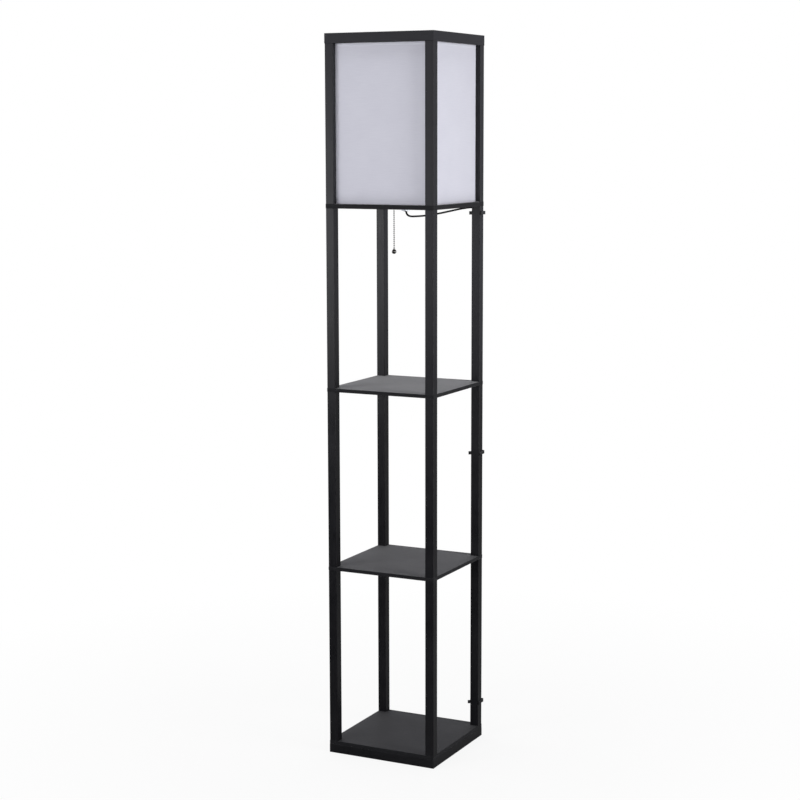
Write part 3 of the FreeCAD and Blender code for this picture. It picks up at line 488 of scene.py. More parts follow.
# %% [markdown]
# The cord comes straight down out of the nipple, and the plug, its pins and the tie are the pieces on it.

# %% [markdown]
# ## Cable clips
#
# Three moulded clips snap round the rear right post from behind and leave room for the cord at their backs.
# Only their lips show from the front, as small bumps beside the post. A clip could be cut from a block, but
# its plan is simpler: an outline filled as one face, pushed up by its height and rounded on every edge.

# %% Cable clips
# In millimetres, seen from above, from the post's middle, with the post's back towards +Y.
POST_MIDDLE = 119.6
GRIP = 10.05
ARM = GRIP + 1.6
CORD_ROOM = GRIP + 6.6
CLIP_BACK = CORD_ROOM + 1.8
LIP_START = -9.0
LIP_END = LIP_START - 2.6
LIP_OUT = GRIP + 5.0
LIP_HALF = 0.8
POST_BACK = GRIP + 1.0
CLIP_HEIGHT = 7.6
CLIP_LEVELS = (1211.0, 668.0, 83.0)
BACK_CORNER = 2.4
INNER_CORNER = 1.2
CLIP_EDGE = 0.3
CLIP_SHARP_DEGREES = 50

half_plan = [
    (ARM, CLIP_BACK),
    (ARM, LIP_START),
    (LIP_OUT, LIP_END + LIP_HALF),
    (LIP_OUT, LIP_END - LIP_HALF),
    (GRIP, LIP_START - LIP_HALF),
    (GRIP, POST_BACK),
    (GRIP, CORD_ROOM),
]
clip_plan = half_plan + [(-across, along) for across, along in reversed(half_plan)]
clips_shape = bmesh.new()
for level in CLIP_LEVELS:
    clip = bmesh.new()
    clip_face = clip.faces.new([clip.verts.new((across, along, 0.0)) for across, along in clip_plan])
    pushed = bmesh.ops.extrude_face_region(clip, geom=[clip_face])["geom"]
    top_corners = [item for item in pushed if isinstance(item, bmesh.types.BMVert)]
    bmesh.ops.translate(clip, verts=top_corners, vec=(0, 0, CLIP_HEIGHT))
    bmesh.ops.recalc_face_normals(clip, faces=clip.faces)
    back_corners = [edge for edge in edges_along(clip, 2) if edge.verts[0].co.y > CORD_ROOM + 0.1]
    bevel(clip, back_corners, BACK_CORNER, segments=5)
    inner_corners = [edge for edge in edges_along(clip, 2) if abs(edge.verts[0].co.y - CORD_ROOM) < 0.05]
    bevel(clip, inner_corners, INNER_CORNER, segments=3)
    bevel(clip, sharp_edges(clip, CLIP_SHARP_DEGREES), CLIP_EDGE, segments=2)
    join(clips_shape, clip, Matrix.Translation((POST_MIDDLE, POST_MIDDLE, level - CLIP_HEIGHT / 2)))
clips = make_piece("post_clips", clips_shape, "lamp", ["cable_clips"])

# %% [markdown]
# ## Shade panels
#
# Each side of the shade is one stiff sheet of white fabric that stands in grooves of the posts. Its edges are
# folded back as narrow hems, which catch the light as a fine line. A cloth simulation would leave a stretched
# sheet flat. So the cloth is a grid with two loops cut along every edge for the hem, and a little noise moves
# it between the hems, because no cloth is quite flat.

# %% Cloth of a panel
PANEL_WIDTH = 227.6
PANEL_HEIGHT = 347.7
HEM = 8.2
HEM_SLOPE = 0.7
HEM_RISE = 0.3
UNEVEN = 0.28
UNEVEN_GROWS_OVER = 20.0
WAVE_ACROSS = 60.0
WAVE_UP = 90.0
SQUARES_ACROSS = 26
SQUARES_UP = 40


def cut_hems(shape):
    """Cuts two loops along every edge of the flat cloth, where its hem starts to fall and where it has."""
    for axis, half in ((0, PANEL_WIDTH / 2), (1, PANEL_HEIGHT / 2)):
        for side in (-1, 1):
            for inset in (HEM, HEM + HEM_SLOPE):
                point = [0.0, 0.0, 0.0]
                normal = [0.0, 0.0, 0.0]
                point[axis] = side * (half - inset)
                normal[axis] = 1.0
                everything = shape.verts[:] + shape.edges[:] + shape.faces[:]
                bmesh.ops.bisect_plane(shape, geom=everything, plane_co=point, plane_no=normal, dist=0.01)


def panel_cloth(seed):
    """The front of one panel, lying flat about the origin, with its hem, its weave's map and its waves."""
    shape = bmesh.new()
    bmesh.ops.create_grid(shape, x_segments=SQUARES_ACROSS, y_segments=SQUARES_UP, size=0.5)
    bmesh.ops.scale(shape, verts=shape.verts, vec=(PANEL_WIDTH, PANEL_HEIGHT, 1.0))
    cut_hems(shape)
    cloth = shape.loops.layers.uv.new("cloth")
    for face in shape.faces:
        for corner in face.loops:
            corner[cloth].uv = (corner.vert.co.x * MM, corner.vert.co.y * MM)
    for vert in shape.verts:
        x, y = vert.co.x, vert.co.y
        from_edge = min(PANEL_WIDTH / 2 - abs(x), PANEL_HEIGHT / 2 - abs(y))
        if from_edge < HEM + HEM_SLOPE / 2:
            vert.co.z = HEM_RISE
        else:
            reach = min(1.0, (from_edge - HEM) / UNEVEN_GROWS_OVER)
            vert.co.z = UNEVEN * reach * noise.noise((x / WAVE_ACROSS + seed, y / WAVE_UP, 0.0))
    return shape


print(f"cloth of a panel: {PANEL_WIDTH} by {PANEL_HEIGHT} mm, with a {HEM} mm hem")

# %% [markdown]
# The four panels differ only in their side of the shade and in how their cloth waves. So each is drawn once,
# given its thickness, stood upright and turned to its side.

# %% Four panels
PANEL_OUTER = 118.1
PANEL_THICKNESS = 1.2
PANEL_LOW = 1233.0
SEED_PER_DEGREE = 0.7


def shade_panel(name, node, turn_degrees):
    """One panel, drawn on the front side and turned about the upright axis to its own side."""
    shape = panel_cloth(turn_degrees * SEED_PER_DEGREE)
    bmesh.ops.recalc_face_normals(shape, faces=shape.faces)
    if shape.faces[:][0].normal.z < 0:
        bmesh.ops.reverse_faces(shape, faces=shape.faces)
    bmesh.ops.solidify(shape, geom=shape.faces[:], thickness=PANEL_THICKNESS)
    upright = Matrix.Rotation(math.radians(90), 4, "X")
    forward = Matrix.Translation((0, -(PANEL_OUTER - HEM_RISE), PANEL_LOW + PANEL_HEIGHT / 2))
    turn = Matrix.Rotation(math.radians(turn_degrees), 4, "Z")
    bmesh.ops.transform(shape, matrix=turn @ forward @ upright, verts=shape.verts)
    panel = make_piece(name, shape, "lamp", [node])
    return panel


panels = [
    shade_panel("fabric_front", "shade_panel_front", 0),
    shade_panel("fabric_right", "shade_panel_right", 90),
    shade_panel("fabric_rear", "shade_panel_rear", 180),
    shade_panel("fabric_left", "shade_panel_left", 270),
]

# %% [markdown]
# ## Bulb
#
# The bulb is a screw bulb with a metal cap, a plastic housing with cooling fins and a frosted dome. All three
# are turned shapes. The cap's thread could be a helix, but it lies deep in the holder, so it is drawn as
# rings, one per turn of the real screw.

# %% Bulb's screw cap
SCREW_PITCH = 3.6
THREAD_START = 6.2
NECK_LENGTH = 3.0
NECK_RADIUS = 12.1
# Radius, and height over the cap's tip.
CAP_TIP = ((0.0, 0.0), (3.3, 0.0), (3.5, 0.4), (4.2, 1.2), (9.0, 4.0), (11.9, 5.6))
# Radius, and the share of the pitch.
THREAD_RING = ((12.0, 0.0), (12.5, 0.22), (13.0, 0.5), (12.5, 0.78))
# Radius, and depth under the cap's rim.
CAP_RIM = ((12.2, 1.6), (12.9, 1.2), (12.9, 0.0), (0.0, 0.0))

cap_low, cap_high = span_mm("bulb_cap")
cap_profile = [(radius, cap_low.z + up) for radius, up in CAP_TIP]
ring_z = cap_low.z + THREAD_START
while ring_z + SCREW_PITCH < cap_high.z - NECK_LENGTH:
    cap_profile += [(radius, ring_z + share * SCREW_PITCH) for radius, share in THREAD_RING]
    ring_z += SCREW_PITCH
cap_profile.append((NECK_RADIUS, ring_z))
cap_profile += [(radius, cap_high.z - down) for radius, down in CAP_RIM]
bulb_cap = make_piece("bulb_screw_cap", turned(cap_profile), "bulb", ["bulb_cap"])

# %% [markdown]
# The housing's fins carry off the heat. They could be cut out of it, but here each is one thin blade, drawn
# flat, given its thickness and joined to the turned housing.

# %% Bulb's housing
BULB_FINS = 14
FIN_THICKNESS = 1.1
# Radius, and height over the housing's foot.
HOUSING_FOOT = ((0.0, 0.0), (13.2, 0.0), (13.6, 0.4), (14.4, 4.5), (16.2, 9.0), (21.6, 20.0))
# Radius, and depth under the housing's rim.
HOUSING_RIM = ((25.2, 3.6), (25.6, 3.2), (26.4, 3.0), (27.6, 0.5), (27.2, 0.0), (0.0, 0.0))
FIN_FOOT = ((15.0, 9.0), (15.0, 7.0), (16.0, 7.4))
FIN_TOP = ((25.9, 4.4), (24.2, 3.8))

housing_low, housing_high = span_mm("bulb_housing")
housing_profile = [(radius, housing_low.z + up) for radius, up in HOUSING_FOOT]
housing_profile += [(radius, housing_high.z - down) for radius, down in HOUSING_RIM]
fin_outline = [(radius, 0.0, housing_low.z + up) for radius, up in FIN_FOOT]
fin_outline += [(radius, 0.0, housing_high.z - down) for radius, down in FIN_TOP]
housing_shape = turned(housing_profile)
for fin in range(BULB_FINS):
    blade = bmesh.new()
    blade.faces.new([blade.verts.new(corner) for corner in fin_outline])
    bmesh.ops.solidify(blade, geom=blade.faces[:], thickness=FIN_THICKNESS)
    bmesh.ops.translate(blade, verts=blade.verts, vec=(0, FIN_THICKNESS / 2, 0))
    join(housing_shape, blade, Matrix.Rotation(2 * math.pi * fin / BULB_FINS, 4, "Z"))
bulb_housing = make_piece("bulb_finned_housing", housing_shape, "bulb", ["bulb_housing"])

# %% [markdown]
# The dome is a thin shell, part of a ball. A ball with its foot cut off would need a second one inside it, so
# the wall's outer and inner arcs are turned in one go.

# %% Bulb's dome
GLOBE_RADIUS = 30.0
GLOBE_WALL = 1.2
GLOBE_STEPS = 24

globe_low, globe_high = span_mm("bulb_globe")
globe_middle = globe_high.z - GLOBE_RADIUS
foot = math.asin((globe_low.z - globe_middle) / GLOBE_RADIUS)
angles = [foot + (math.pi / 2 - foot) * i / GLOBE_STEPS for i in range(GLOBE_STEPS + 1)]
outside = [(GLOBE_RADIUS * math.cos(a), globe_middle + GLOBE_RADIUS * math.sin(a)) for a in angles]
hollow = GLOBE_RADIUS - GLOBE_WALL
inside = [(hollow * math.cos(a), globe_middle + hollow * math.sin(a)) for a in reversed(angles)]
globe_profile = outside + inside + [outside[0]]
bulb_dome = make_piece("bulb_dome", turned(globe_profile, steps=64), "bulb", ["bulb_globe"])

# %% [markdown]
# ## Lampholder ring
#
# A knurled ring holds the lampholder's sleeve to its cup. The measured cup and sleeve are right as they are
# and only get their finish, so the ring is all that is added. It is turned with two strips for each rib, and
# every second strip of its outside is pushed in, which is quicker than cutting each groove.

# %% Knurled ring
RING_RIBS = 36
RING_INSIDE = 17.3
RING_EDGE = 17.45
RING_OUTSIDE = 18.2
GROOVE_RADIUS = 17.75
RING_CHAMFER = 0.3
RING_FROM_TOP = 0.2
RING_HEIGHT = 4.0

_, cup_high = span_mm("holder_cup")
ring_high = cup_high.z - RING_FROM_TOP
ring_low = ring_high - RING_HEIGHT
ring_profile = [
    (RING_EDGE, ring_low),
    (RING_OUTSIDE, ring_low + RING_CHAMFER),
    (RING_OUTSIDE, ring_high - RING_CHAMFER),
    (RING_EDGE, ring_high),
    (RING_INSIDE, ring_high),
    (RING_INSIDE, ring_low),
    (RING_EDGE, ring_low),
]
ring_shape = turned(ring_profile, steps=RING_RIBS * 2)
for vert in ring_shape.verts:
    strip = round(math.atan2(vert.co.y, vert.co.x) / (math.pi / RING_RIBS))
    if vert.co.xy.length > GROOVE_RADIUS and strip % 2:
        vert.co.xy *= GROOVE_RADIUS / RING_OUTSIDE
knurled_ring = make_piece("holder_ring", ring_shape, "lamp")

# %% [markdown]
# ## Finishes
#
# Every finish below starts from what the real surface is and how it was made. Its colours are written the way
# a paint card gives them, as sRGB hex, and one function turns them to the linear light that shaders work in.
# A pattern's size is a real one in millimetres, so that it looks right at any distance. Finishes could be
# drawn by hand in the shader editor. In code, one function that adds a node with its settings and its links
# is enough for all of them.

# %% Colour and node helpers


def linear(hex_colour):
    """An sRGB hex colour such as '#1c1c1f' as linear RGBA."""
    parts = [int(hex_colour[i : i + 2], 16) / 255 for i in (1, 3, 5)]
    return tuple(c / 12.92 if c <= 0.04045 else ((c + 0.055) / 1.055) ** 2.4 for c in parts) + (1.0,)


def empty_tree(holder):
    """Gives a material or a world an empty node tree."""
    holder.use_nodes = True
    holder.node_tree.nodes.clear()
    return holder.node_tree


def add(tree, kind, inputs=(), **settings):
    """Adds a node. Settings are its properties; inputs are values, outputs, or nodes with one output."""
    node = tree.nodes.new(kind)
    for name, value in settings.items():
        setattr(node, name, value)
    for socket, value in dict(inputs).items():
        if isinstance(value, bpy.types.Node):
            value = value.outputs[0]
        if isinstance(value, bpy.types.NodeSocket):
            tree.links.new(value, node.inputs[socket])
        else:
            node.inputs[socket].default_value = value
    return node


def per_mm(size_mm):
    """The scale of a texture whose features are about size_mm across, on coordinates in metres."""
    return 1000.0 / size_mm


print("a mid grey of #808080 is", round(linear("#808080")[0], 3), "in linear light")

# %% [markdown]
# The frame is wood sprayed with satin black paint. Under studio light it shows a soft sheen, a faint
# unevenness from the filled grain that runs along each piece, and the fine dimples of sprayed paint. Grain
# could be an image. Noise that is stretched along the piece does as well and has no seams, so there is one
# paint for each direction that the wood can run in.

# %% Black satin paint on wood
GRAIN_STRETCH = 0.04
CLOUD_MM = 55.0
GRAIN_MM = 2.4
PEEL_MM = 2.6
PEEL_DEPTH_MM = 0.035
GRAIN_IN_GLOSS = 0.03
# Noise seldom leaves the middle of its range, so that middle is spread over the whole contrast.
MIDDLE = {"From Min": 0.3, "From Max": 0.7}


def black_paint(name, grain_axis, smooth, rough, sheen=()):
    """Black paint sprayed over wood whose grain runs along an axis (0, 1 or 2)."""
    material = bpy.data.materials.new(name)
    tree = empty_tree(material)
    place = add(tree, "ShaderNodeTexCoord").outputs["Object"]
    stretch = [1.0, 1.0, 1.0]
    stretch[grain_axis] = GRAIN_STRETCH
    along = add(tree, "ShaderNodeMapping", {"Vector": place, "Scale": stretch})
    clouds = add(tree, "ShaderNodeTexNoise", {"Vector": place, "Scale": per_mm(CLOUD_MM), "Detail": 3.0})
    grain_look = {"Vector": along, "Scale": per_mm(GRAIN_MM), "Detail": 4.0, "Roughness": 0.65}
    grain = add(tree, "ShaderNodeTexNoise", grain_look)
    peel = add(tree, "ShaderNodeTexNoise", {"Vector": place, "Scale": per_mm(PEEL_MM), "Detail": 1.0})
    tone = add(tree, "ShaderNodeMapRange", {"Value": clouds, **MIDDLE})
    blacks = {0: tone, 6: linear("#101013"), 7: linear("#161619")}
    colour = add(tree, "ShaderNodeMix", blacks, data_type="RGBA").outputs[2]
    gloss_range = {"To Min": smooth, "To Max": rough}
    even_gloss = add(tree, "ShaderNodeMapRange", {"Value": clouds, **MIDDLE, **gloss_range})
    streak_range = {"To Min": -GRAIN_IN_GLOSS, "To Max": GRAIN_IN_GLOSS}
    streaks = add(tree, "ShaderNodeMapRange", {"Value": grain, **MIDDLE, **streak_range})
    gloss = add(tree, "ShaderNodeMath", {0: even_gloss, 1: streaks})
    height = add(tree, "ShaderNodeMath", {0: grain, 1: peel})
    bump = add(tree, "ShaderNodeBump", {"Height": height, "Distance": PEEL_DEPTH_MM * MM})
    surface = {"Base Color": colour, "Roughness": gloss, "Normal": bump, **dict(sheen)}
    surface |= {"Metallic": 0.0, "IOR": 1.45, "Specular IOR Level": 0.42}
    shader = add(tree, "ShaderNodeBsdfPrincipled", surface)
    add(tree, "ShaderNodeOutputMaterial", {"Surface": shader})
    print("finish:", name)
    return material


SATIN = (0.28, 0.33)
painted_upright = black_paint("satin_black_paint_upright_grain", 2, *SATIN)
painted_across = black_paint("satin_black_paint_across_grain", 0, *SATIN)
painted_deep = black_paint("satin_black_paint_deep_grain", 1, *SATIN)

# %% [markdown]
# The boards are sprayed with the same black, but matt. From above they look black, and at a low angle, as the
# camera sees the lower ones, their tops turn pale with scattered light. A rough gloss alone stays too dark
# there, so the shader's sheen, which is made for velvet, adds that pale veil.

# %% Matt paint on the boards
MATT = (0.62, 0.68)
VEIL = {"Sheen Weight": 0.64, "Sheen Roughness": 0.24, "Sheen Tint": linear("#f7f7fa")}
painted_board = black_paint("matt_black_paint_on_boards", 0, *MATT, sheen=VEIL)

# %% [markdown]
# The shade is fine white cotton over a stiff sheet: matt, with a hint of the weave and thicker threads here
# and there. The real threads are about 0.35 mm apart, too fine to show, so the weave is drawn at 1 mm. It
# follows the panel's own map and not its place, so that it runs the same way on all four sides.

# %% White woven fabric
THREAD_MM = 1.0
WAVE_AT_SCALE_ONE = 0.31416
SLUB_STRETCH = (0.05, 1.0, 1.0)
SLUB_MM = 1.6
SHADE_CLOUD_MM = 70.0
THREAD_DEPTH_MM = 0.06

woven = bpy.data.materials.new("white_woven_cotton")
tree = empty_tree(woven)
cloth_place = add(tree, "ShaderNodeUVMap", uv_map="cloth")
thread_scale = WAVE_AT_SCALE_ONE * per_mm(THREAD_MM)
thread_look = {"Vector": cloth_place, "Scale": thread_scale, "Distortion": 0.4, "Detail Scale": 2.0}
warp = add(tree, "ShaderNodeTexWave", thread_look, bands_direction="X").outputs["Fac"]
weft = add(tree, "ShaderNodeTexWave", thread_look, bands_direction="Y").outputs["Fac"]
weave = add(tree, "ShaderNodeMath", {0: warp, 1: weft}, operation="MULTIPLY")
along_weft = add(tree, "ShaderNodeMapping", {"Vector": cloth_place, "Scale": SLUB_STRETCH})
slub_look = {"Vector": along_weft, "Scale": per_mm(SLUB_MM), "Detail": 3.0, "Roughness": 0.6}
slubs = add(tree, "ShaderNodeTexNoise", slub_look)
clouds = add(tree, "ShaderNodeTexNoise", {"Vector": cloth_place, "Scale": per_mm(SHADE_CLOUD_MM)})
slub_tone = add(tree, "ShaderNodeMapRange", {"Value": slubs, **MIDDLE, "To Max": 0.6})
cloud_tone = add(tree, "ShaderNodeMapRange", {"Value": clouds, **MIDDLE, "To Max": 0.4})
tone = add(tree, "ShaderNodeMath", {0: slub_tone, 1: cloud_tone})
whites = {0: tone, 6: linear("#e1e1ed"), 7: linear("#e8e8f3")}
colour = add(tree, "ShaderNodeMix", whites, data_type="RGBA").outputs[2]
height = add(tree, "ShaderNodeMath", {0: weave, 1: slubs})
relief = {"Height": height, "Distance": THREAD_DEPTH_MM * MM, "Strength": 0.6}
surface = {"Base Color": colour, "Normal": add(tree, "ShaderNodeBump", relief), "Metallic": 0.0}
surface |= {"Roughness": 0.85, "IOR": 1.45, "Specular IOR Level": 0.25}
surface |= {"Sheen Weight": 0.25, "Sheen Roughness": 0.5}
add(tree, "ShaderNodeOutputMaterial", {"Surface": add(tree, "ShaderNodeBsdfPrincipled", surface)})
print("finish:", woven.name)

# %% [markdown]
# What is left is moulded, extruded or plated. Such a surface is never quite even: its tone and its gloss
# wander softly, and a fine grit shows from close by. Each could have nodes of its own, but they differ only
# in numbers, so one function makes them all from the size of their patches and of their grit.

# %% Mottled surfaces
ALL = (0.0, 1.0)


def mottled(name, tones, patch_mm, roughness, grit=None, spread=ALL, detail=2.0, sockets=()):
    """A surface between two tones. Grit is its size and depth in mm, and spread the part of noise it uses."""
    material = bpy.data.materials.new(name)
    tree = empty_tree(material)
    place = add(tree, "ShaderNodeTexCoord").outputs["Object"]
    patches = add(tree, "ShaderNodeTexNoise", {"Vector": place, "Scale": per_mm(patch_mm), "Detail": detail})
    tone = add(tree, "ShaderNodeMapRange", {"Value": patches, "From Min": spread[0], "From Max": spread[1]})
    colours = {0: tone, 6: linear(tones[0]), 7: linear(tones[1])}
    colour = add(tree, "ShaderNodeMix", colours, data_type="RGBA").outputs[2]
    gloss_range = {"To Min": roughness[0], "To Max": roughness[1]}
    gloss = add(tree, "ShaderNodeMapRange", {"Value": patches, **MIDDLE, **gloss_range})
    surface = {"Base Color": colour, "Roughness": gloss, **dict(sockets)}
    if grit:
        grain = add(tree, "ShaderNodeTexNoise", {"Vector": place, "Scale": per_mm(grit[0])})
        surface["Normal"] = add(tree, "ShaderNodeBump", {"Height": grain, "Distance": grit[1] * MM})
    shader = add(tree, "ShaderNodeBsdfPrincipled", surface)
    add(tree, "ShaderNodeOutputMaterial", {"Surface": shader})
    print("finish:", name)
    return material


# %% [markdown]
# The cord's jacket is extruded and the plug is moulded, both in soft black PVC. It is deep black and nearly
# matt, and its flow marks are patches that differ a little in gloss.

# %% Soft cord jacket
jacket = mottled(
    "soft_black_pvc",
    ("#070708", "#0e0e0f"),
    patch_mm=9.0,
    roughness=(0.4, 0.54),
    grit=(1.2, 0.015),
    detail=3.0,
    sockets={"Metallic": 0.0, "IOR": 1.5, "Specular IOR Level": 0.15},
)

# %% [markdown]
# The clips, the holder and the tie are moulded in black nylon. Its mould is spark-eroded, which leaves a fine
# even grit that takes the shine off.

# %% Moulded black plastic
nylon = mottled(
    "moulded_black_nylon",
    ("#131315", "#1b1b1d"),
    patch_mm=14.0,
    roughness=(0.42, 0.55),
    grit=(0.9, 0.03),
    sockets={"Metallic": 0.0, "IOR": 1.53, "Specular IOR Level": 0.5},
)

# %% [markdown]
# Each metal differs in its colour, in how rough its plating is, and in how blotchy it has become. The chain's
# nickel is smooth, and its colour is darkened as painted shade: the dark that small beads show between their
# highlights. So it mirrors the studio in grey. A metal keeps the shader's own IOR.

# %% Plated and formed metals
METAL = {"grit": (0.8, 0.006), "spread": (0.3, 0.7), "detail": 3.0, "sockets": {"Metallic": 1.0}}
zinc = mottled("blue_zinc_plated_steel", ("#aeb1b6", "#c9ccd0"), 6.0, (0.28, 0.42), **METAL)
# The nickel's two tones are painted shade: darker than plated nickel, for the dark between the beads'
# highlights.
nickel = mottled("nickel_plated_brass_painted_shade", ("#6c6a68", "#82807d"), 4.0, (0.07, 0.13), **METAL)
brass = mottled("stamped_brass", ("#b3914d", "#cdae6a"), 5.0, (0.25, 0.38), **METAL)
aluminium = mottled("deep_drawn_aluminium", ("#b9bbbe", "#d0d2d4"), 5.0, (0.25, 0.36), **METAL)

# %% [markdown]
# The bulb's housing is glossy white moulded plastic. Its dome is frosted: light sinks in a little and comes
# out beside, which blurs its shading, so it gets some subsurface scattering.

# %% Bulb plastics
white_plastic = mottled(
    "moulded_white_abs",
    ("#dedddb", "#e8e7e5"),
    patch_mm=12.0,
    roughness=(0.28, 0.36),
    sockets={"Metallic": 0.0, "IOR": 1.53},
)
SINKS_IN = {"Subsurface Weight": 0.4, "Subsurface Radius": (1.0, 0.95, 0.85), "Subsurface Scale": 0.002}
frosted = mottled(
    "frosted_polycarbonate",
    ("#e9e8e3", "#f1f0ec"),
    patch_mm=18.0,
    roughness=(0.45, 0.55),
    grit=(0.7, 0.01),
    sockets={"Metallic": 0.0, "IOR": 1.58, **SINKS_IN},
)

# %% [markdown]
# ## Give every piece its finish
#
# A new piece gets its finish in a fresh slot. A measured piece already has slots, so only what they hold is
# changed, and its mesh is left alone.

# %% Finishes on pieces
for piece, material in (
    (flex, jacket),
    (plug, jacket),
    (pins, brass),
    (tie, nylon),
    (clips, nylon),
    (knurled_ring, nylon),
    (bulb_cap, aluminium),
    (bulb_housing, white_plastic),
    (bulb_dome, frosted),
):
    piece.data.materials.append(material)
for panel in panels:
    panel.data.materials.append(woven)

BOARDS = ("base_board", "lower_shelf", "upper_shelf", "shade_board")
SLOT_FINISH = {
    "shade_fabric": woven,
    "zinc_steel": zinc,
    "black_plastic": nylon,
    "cord_black": jacket,
    "aluminium_shell": aluminium,
    "brass": brass,
    "nickel": nickel,
    "bulb_plastic": white_plastic,
    "bulb_diffuser": frosted,
}


def wood_finish(name):
    """The painted finish whose grain runs along this wooden piece."""
    low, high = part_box(name)
    size = high - low
    longest = max(range(3), key=lambda axis: size[axis])
    return painted_board if name in BOARDS else (painted_across, painted_deep, painted_upright)[longest]


counts = {}
for part in frame["record"]["subparts"]:
    name, slot = part["node"], part["material_slot"]
    material = wood_finish(name) if slot == "black_wood" else SLOT_FINISH[slot]
    for holder in nodes[name].material_slots:
        holder.material = material
    counts[material.name] = counts.get(material.name, 0) + 1
print(counts)

# %% [markdown]
# ## Studio
#
# The lamp stands in a plain studio: a pale floor, a white surround and soft lamps. The floor could curve up
# into a backdrop. The surround is white all round anyway, so one large flat square is enough.

# %% Floor plane
FLOOR_SIZE = 14.0

floor_shape = bmesh.new()
bmesh.ops.create_grid(floor_shape, x_segments=1, y_segments=1, size=FLOOR_SIZE / 2)
floor_mesh = bpy.data.meshes.new("studio_floor")
floor_shape.to_mesh(floor_mesh)
floor_shape.free()
floor = bpy.data.objects.new("studio_floor", floor_mesh)
bpy.context.scene.collection.objects.link(floor)
print("floor:", FLOOR_SIZE, "m square")

# %% [markdown]
# More light would make the floor white, but it would brighten the lamp too. So its white is a colour that
# only camera and transmission rays find, and it adds no light to the object. Glossy rays find it dim, and a
# little brighter on the right, so that the paint stays black down there. The floor still mixes in its own lit
# surface, which keeps the lamp's shadow.

# %% Floor finish
WHITE = linear("#ffffff")
FLOOR_GREY = linear("#f0f0f0")
FLOOR_WHITE_SHARE = 0.88
ALL_WHITE_BEYOND = 1.5
SHADOW_WITHIN = 0.5
SIDE_TO_SIDE = {"From Min": -0.5, "From Max": 0.5}
FLOOR_IN_REFLECTIONS = {"To Min": 0.01, "To Max": 0.16}


def background_rays(tree):
    """Two outputs: 1 for camera rays and those through clear plastic, and 1 for glossy rays."""
    rays = add(tree, "ShaderNodeLightPath").outputs
    both = {0: rays["Is Camera Ray"], 1: rays["Is Transmission Ray"]}
    return add(tree, "ShaderNodeMath", both, operation="MAXIMUM").outputs[0], rays["Is Glossy Ray"]


pale = bpy.data.materials.new("pale_studio_floor")
tree = empty_tree(pale)
direct, glossy = background_rays(tree)
lit = add(tree, "ShaderNodeBsdfDiffuse", {"Color": FLOOR_GREY})
floor_place = add(tree, "ShaderNodeTexCoord").outputs["Object"]
floor_x = add(tree, "ShaderNodeSeparateXYZ", {0: floor_place})
mirrored_floor = add(tree, "ShaderNodeMapRange", {"Value": floor_x, **SIDE_TO_SIDE, **FLOOR_IN_REFLECTIONS})
strength = add(tree, "ShaderNodeMapRange", {"Value": direct, "To Min": mirrored_floor, "To Max": 1.0})
glow = add(tree, "ShaderNodeEmission", {"Color": WHITE, "Strength": strength})
seen = add(tree, "ShaderNodeMath", {0: direct, 1: glossy}, operation="MAXIMUM")
distance = add(tree, "ShaderNodeVectorMath", {0: floor_place}, operation="LENGTH").outputs["Value"]
fade_range = {"From Min": SHADOW_WITHIN, "From Max": ALL_WHITE_BEYOND, "To Min": FLOOR_WHITE_SHARE}
fade = add(tree, "ShaderNodeMapRange", {"Value": distance, **fade_range})
share = add(tree, "ShaderNodeMath", {0: seen, 1: fade}, operation="MULTIPLY")
surface = add(tree, "ShaderNodeMixShader", {0: share, 1: lit, 2: glow})
add(tree, "ShaderNodeOutputMaterial", {"Surface": surface})
floor_mesh.materials.append(pale)
print("finish:", pale.name)

# %% [markdown]
# The surround could be a backdrop of its own, but the world can show each kind of ray what it needs. The
# camera finds white. Reflections find a backdrop that is brightest near the horizon and on the left, and
# greyer overhead and on the right, which keeps the frame's right sides dark and gives metal a light and a
# dark side. All other rays find a dim even light.

# %% World
AMBIENT = 0.1
SURROUND = linear("#f4f4ff")
RISING = {"From Min": 0.16, "From Max": 0.36}
BACKDROP_BY_HEIGHT = {"To Min": 1.0, "To Max": 0.22}
BACKDROP_BY_SIDE = {"To Min": 1.2, "To Max": 0.38}

world = bpy.data.worlds.new("white_studio")
bpy.context.scene.world = world
tree = empty_tree(world)
direct, glossy = background_rays(tree)
direction = add(tree, "ShaderNodeTexCoord").outputs["Generated"]
axes = add(tree, "ShaderNodeSeparateXYZ", {0: direction}).outputs
by_height = add(tree, "ShaderNodeMapRange", {"Value": axes["Z"], **RISING, **BACKDROP_BY_HEIGHT})
by_side = add(tree, "ShaderNodeMapRange", {"Value": axes["X"], **SIDE_TO_SIDE, **BACKDROP_BY_SIDE})
backdrop = add(tree, "ShaderNodeMath", {0: by_height, 1: by_side}, operation="MULTIPLY")
ambient = add(tree, "ShaderNodeBackground", {"Color": SURROUND, "Strength": AMBIENT})
mirrored = add(tree, "ShaderNodeBackground", {"Color": SURROUND, "Strength": backdrop})
white = add(tree, "ShaderNodeBackground", {"Color": WHITE, "Strength": 1.0})
lighting = add(tree, "ShaderNodeMixShader", {0: glossy, 1: ambient, 2: mirrored})
shown = add(tree, "ShaderNodeMixShader", {0: direct, 1: lighting, 2: white})
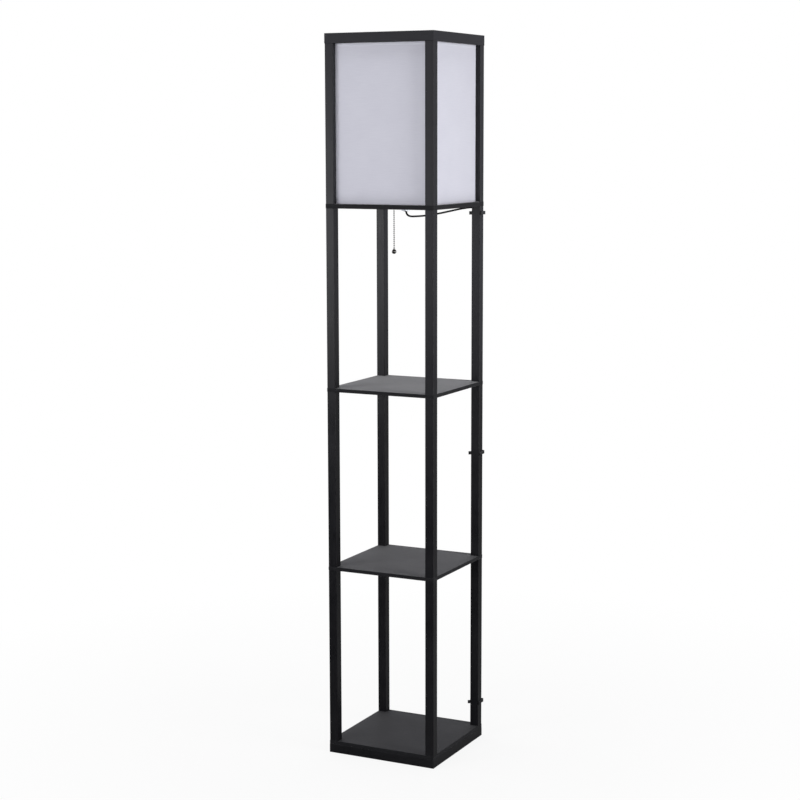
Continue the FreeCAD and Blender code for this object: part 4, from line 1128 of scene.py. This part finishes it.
add(tree, "ShaderNodeOutputWorld", {"Surface": shown})
print("world:", world.name)

# %% [markdown]
# Five soft boxes light the lamp: one overhead, a key and a fill on the left, a tall one on the right and one
# behind. A sun would throw hard shadows that a studio doesn't have. Satin paint would mirror the key and the
# rear one as bright patches, so reflections don't find those two. A small card does the opposite: only
# reflections find it, and it lights up the fronts of the left posts.

# %% Lamps
LAMP_MIDDLE = (0.0, 0.0, 0.9)
SHADE_MIDDLE = (0.0, 0.0, 1.4)
LEFT_POST = (-0.12, -0.13, 1.1)


def soft_lamp(name, place, target, width, height, watts, in_gloss=True, in_diffuse=True):
    """A rectangular soft box that looks at a point, and may be hidden from one kind of ray."""
    data = bpy.data.lights.new(name, "AREA")
    data.shape = "RECTANGLE"
    data.size, data.size_y = width, height
    data.energy = watts
    lamp = bpy.data.objects.new(name, data)
    bpy.context.scene.collection.objects.link(lamp)
    lamp.matrix_world = aim(Vector(place), (Vector(target) - Vector(place)).normalized())
    lamp.visible_glossy = in_gloss
    lamp.visible_diffuse = in_diffuse
    print(f"{name}: {watts} W from {width} by {height} m")


soft_lamp("overhead", (-0.3, 0.1, 3.3), LAMP_MIDDLE, 2.2, 2.2, 46.0)
soft_lamp("left_key", (-1.5, -2.7, 1.4), SHADE_MIDDLE, 1.4, 2.4, 40.0, in_gloss=False)
soft_lamp("right_tall", (2.4, -0.4, 1.2), LAMP_MIDDLE, 1.2, 2.2, 39.0)
soft_lamp("left_fill", (-2.2, 1.2, 1.4), LAMP_MIDDLE, 1.2, 2.0, 12.0)
soft_lamp("left_card", (-1.4, -1.85, 1.05), LEFT_POST, 0.8, 0.7, 4.2, in_diffuse=False)
soft_lamp("rear_fill", (-0.1, 2.8, 1.5), LAMP_MIDDLE, 1.4, 2.0, 20.0, in_gloss=False)

# %% [markdown]
# ## View transform
#
# The view transform stays plain, so a colour renders as it is written.

# %% Finish
bpy.context.scene.view_settings.view_transform = "Standard"
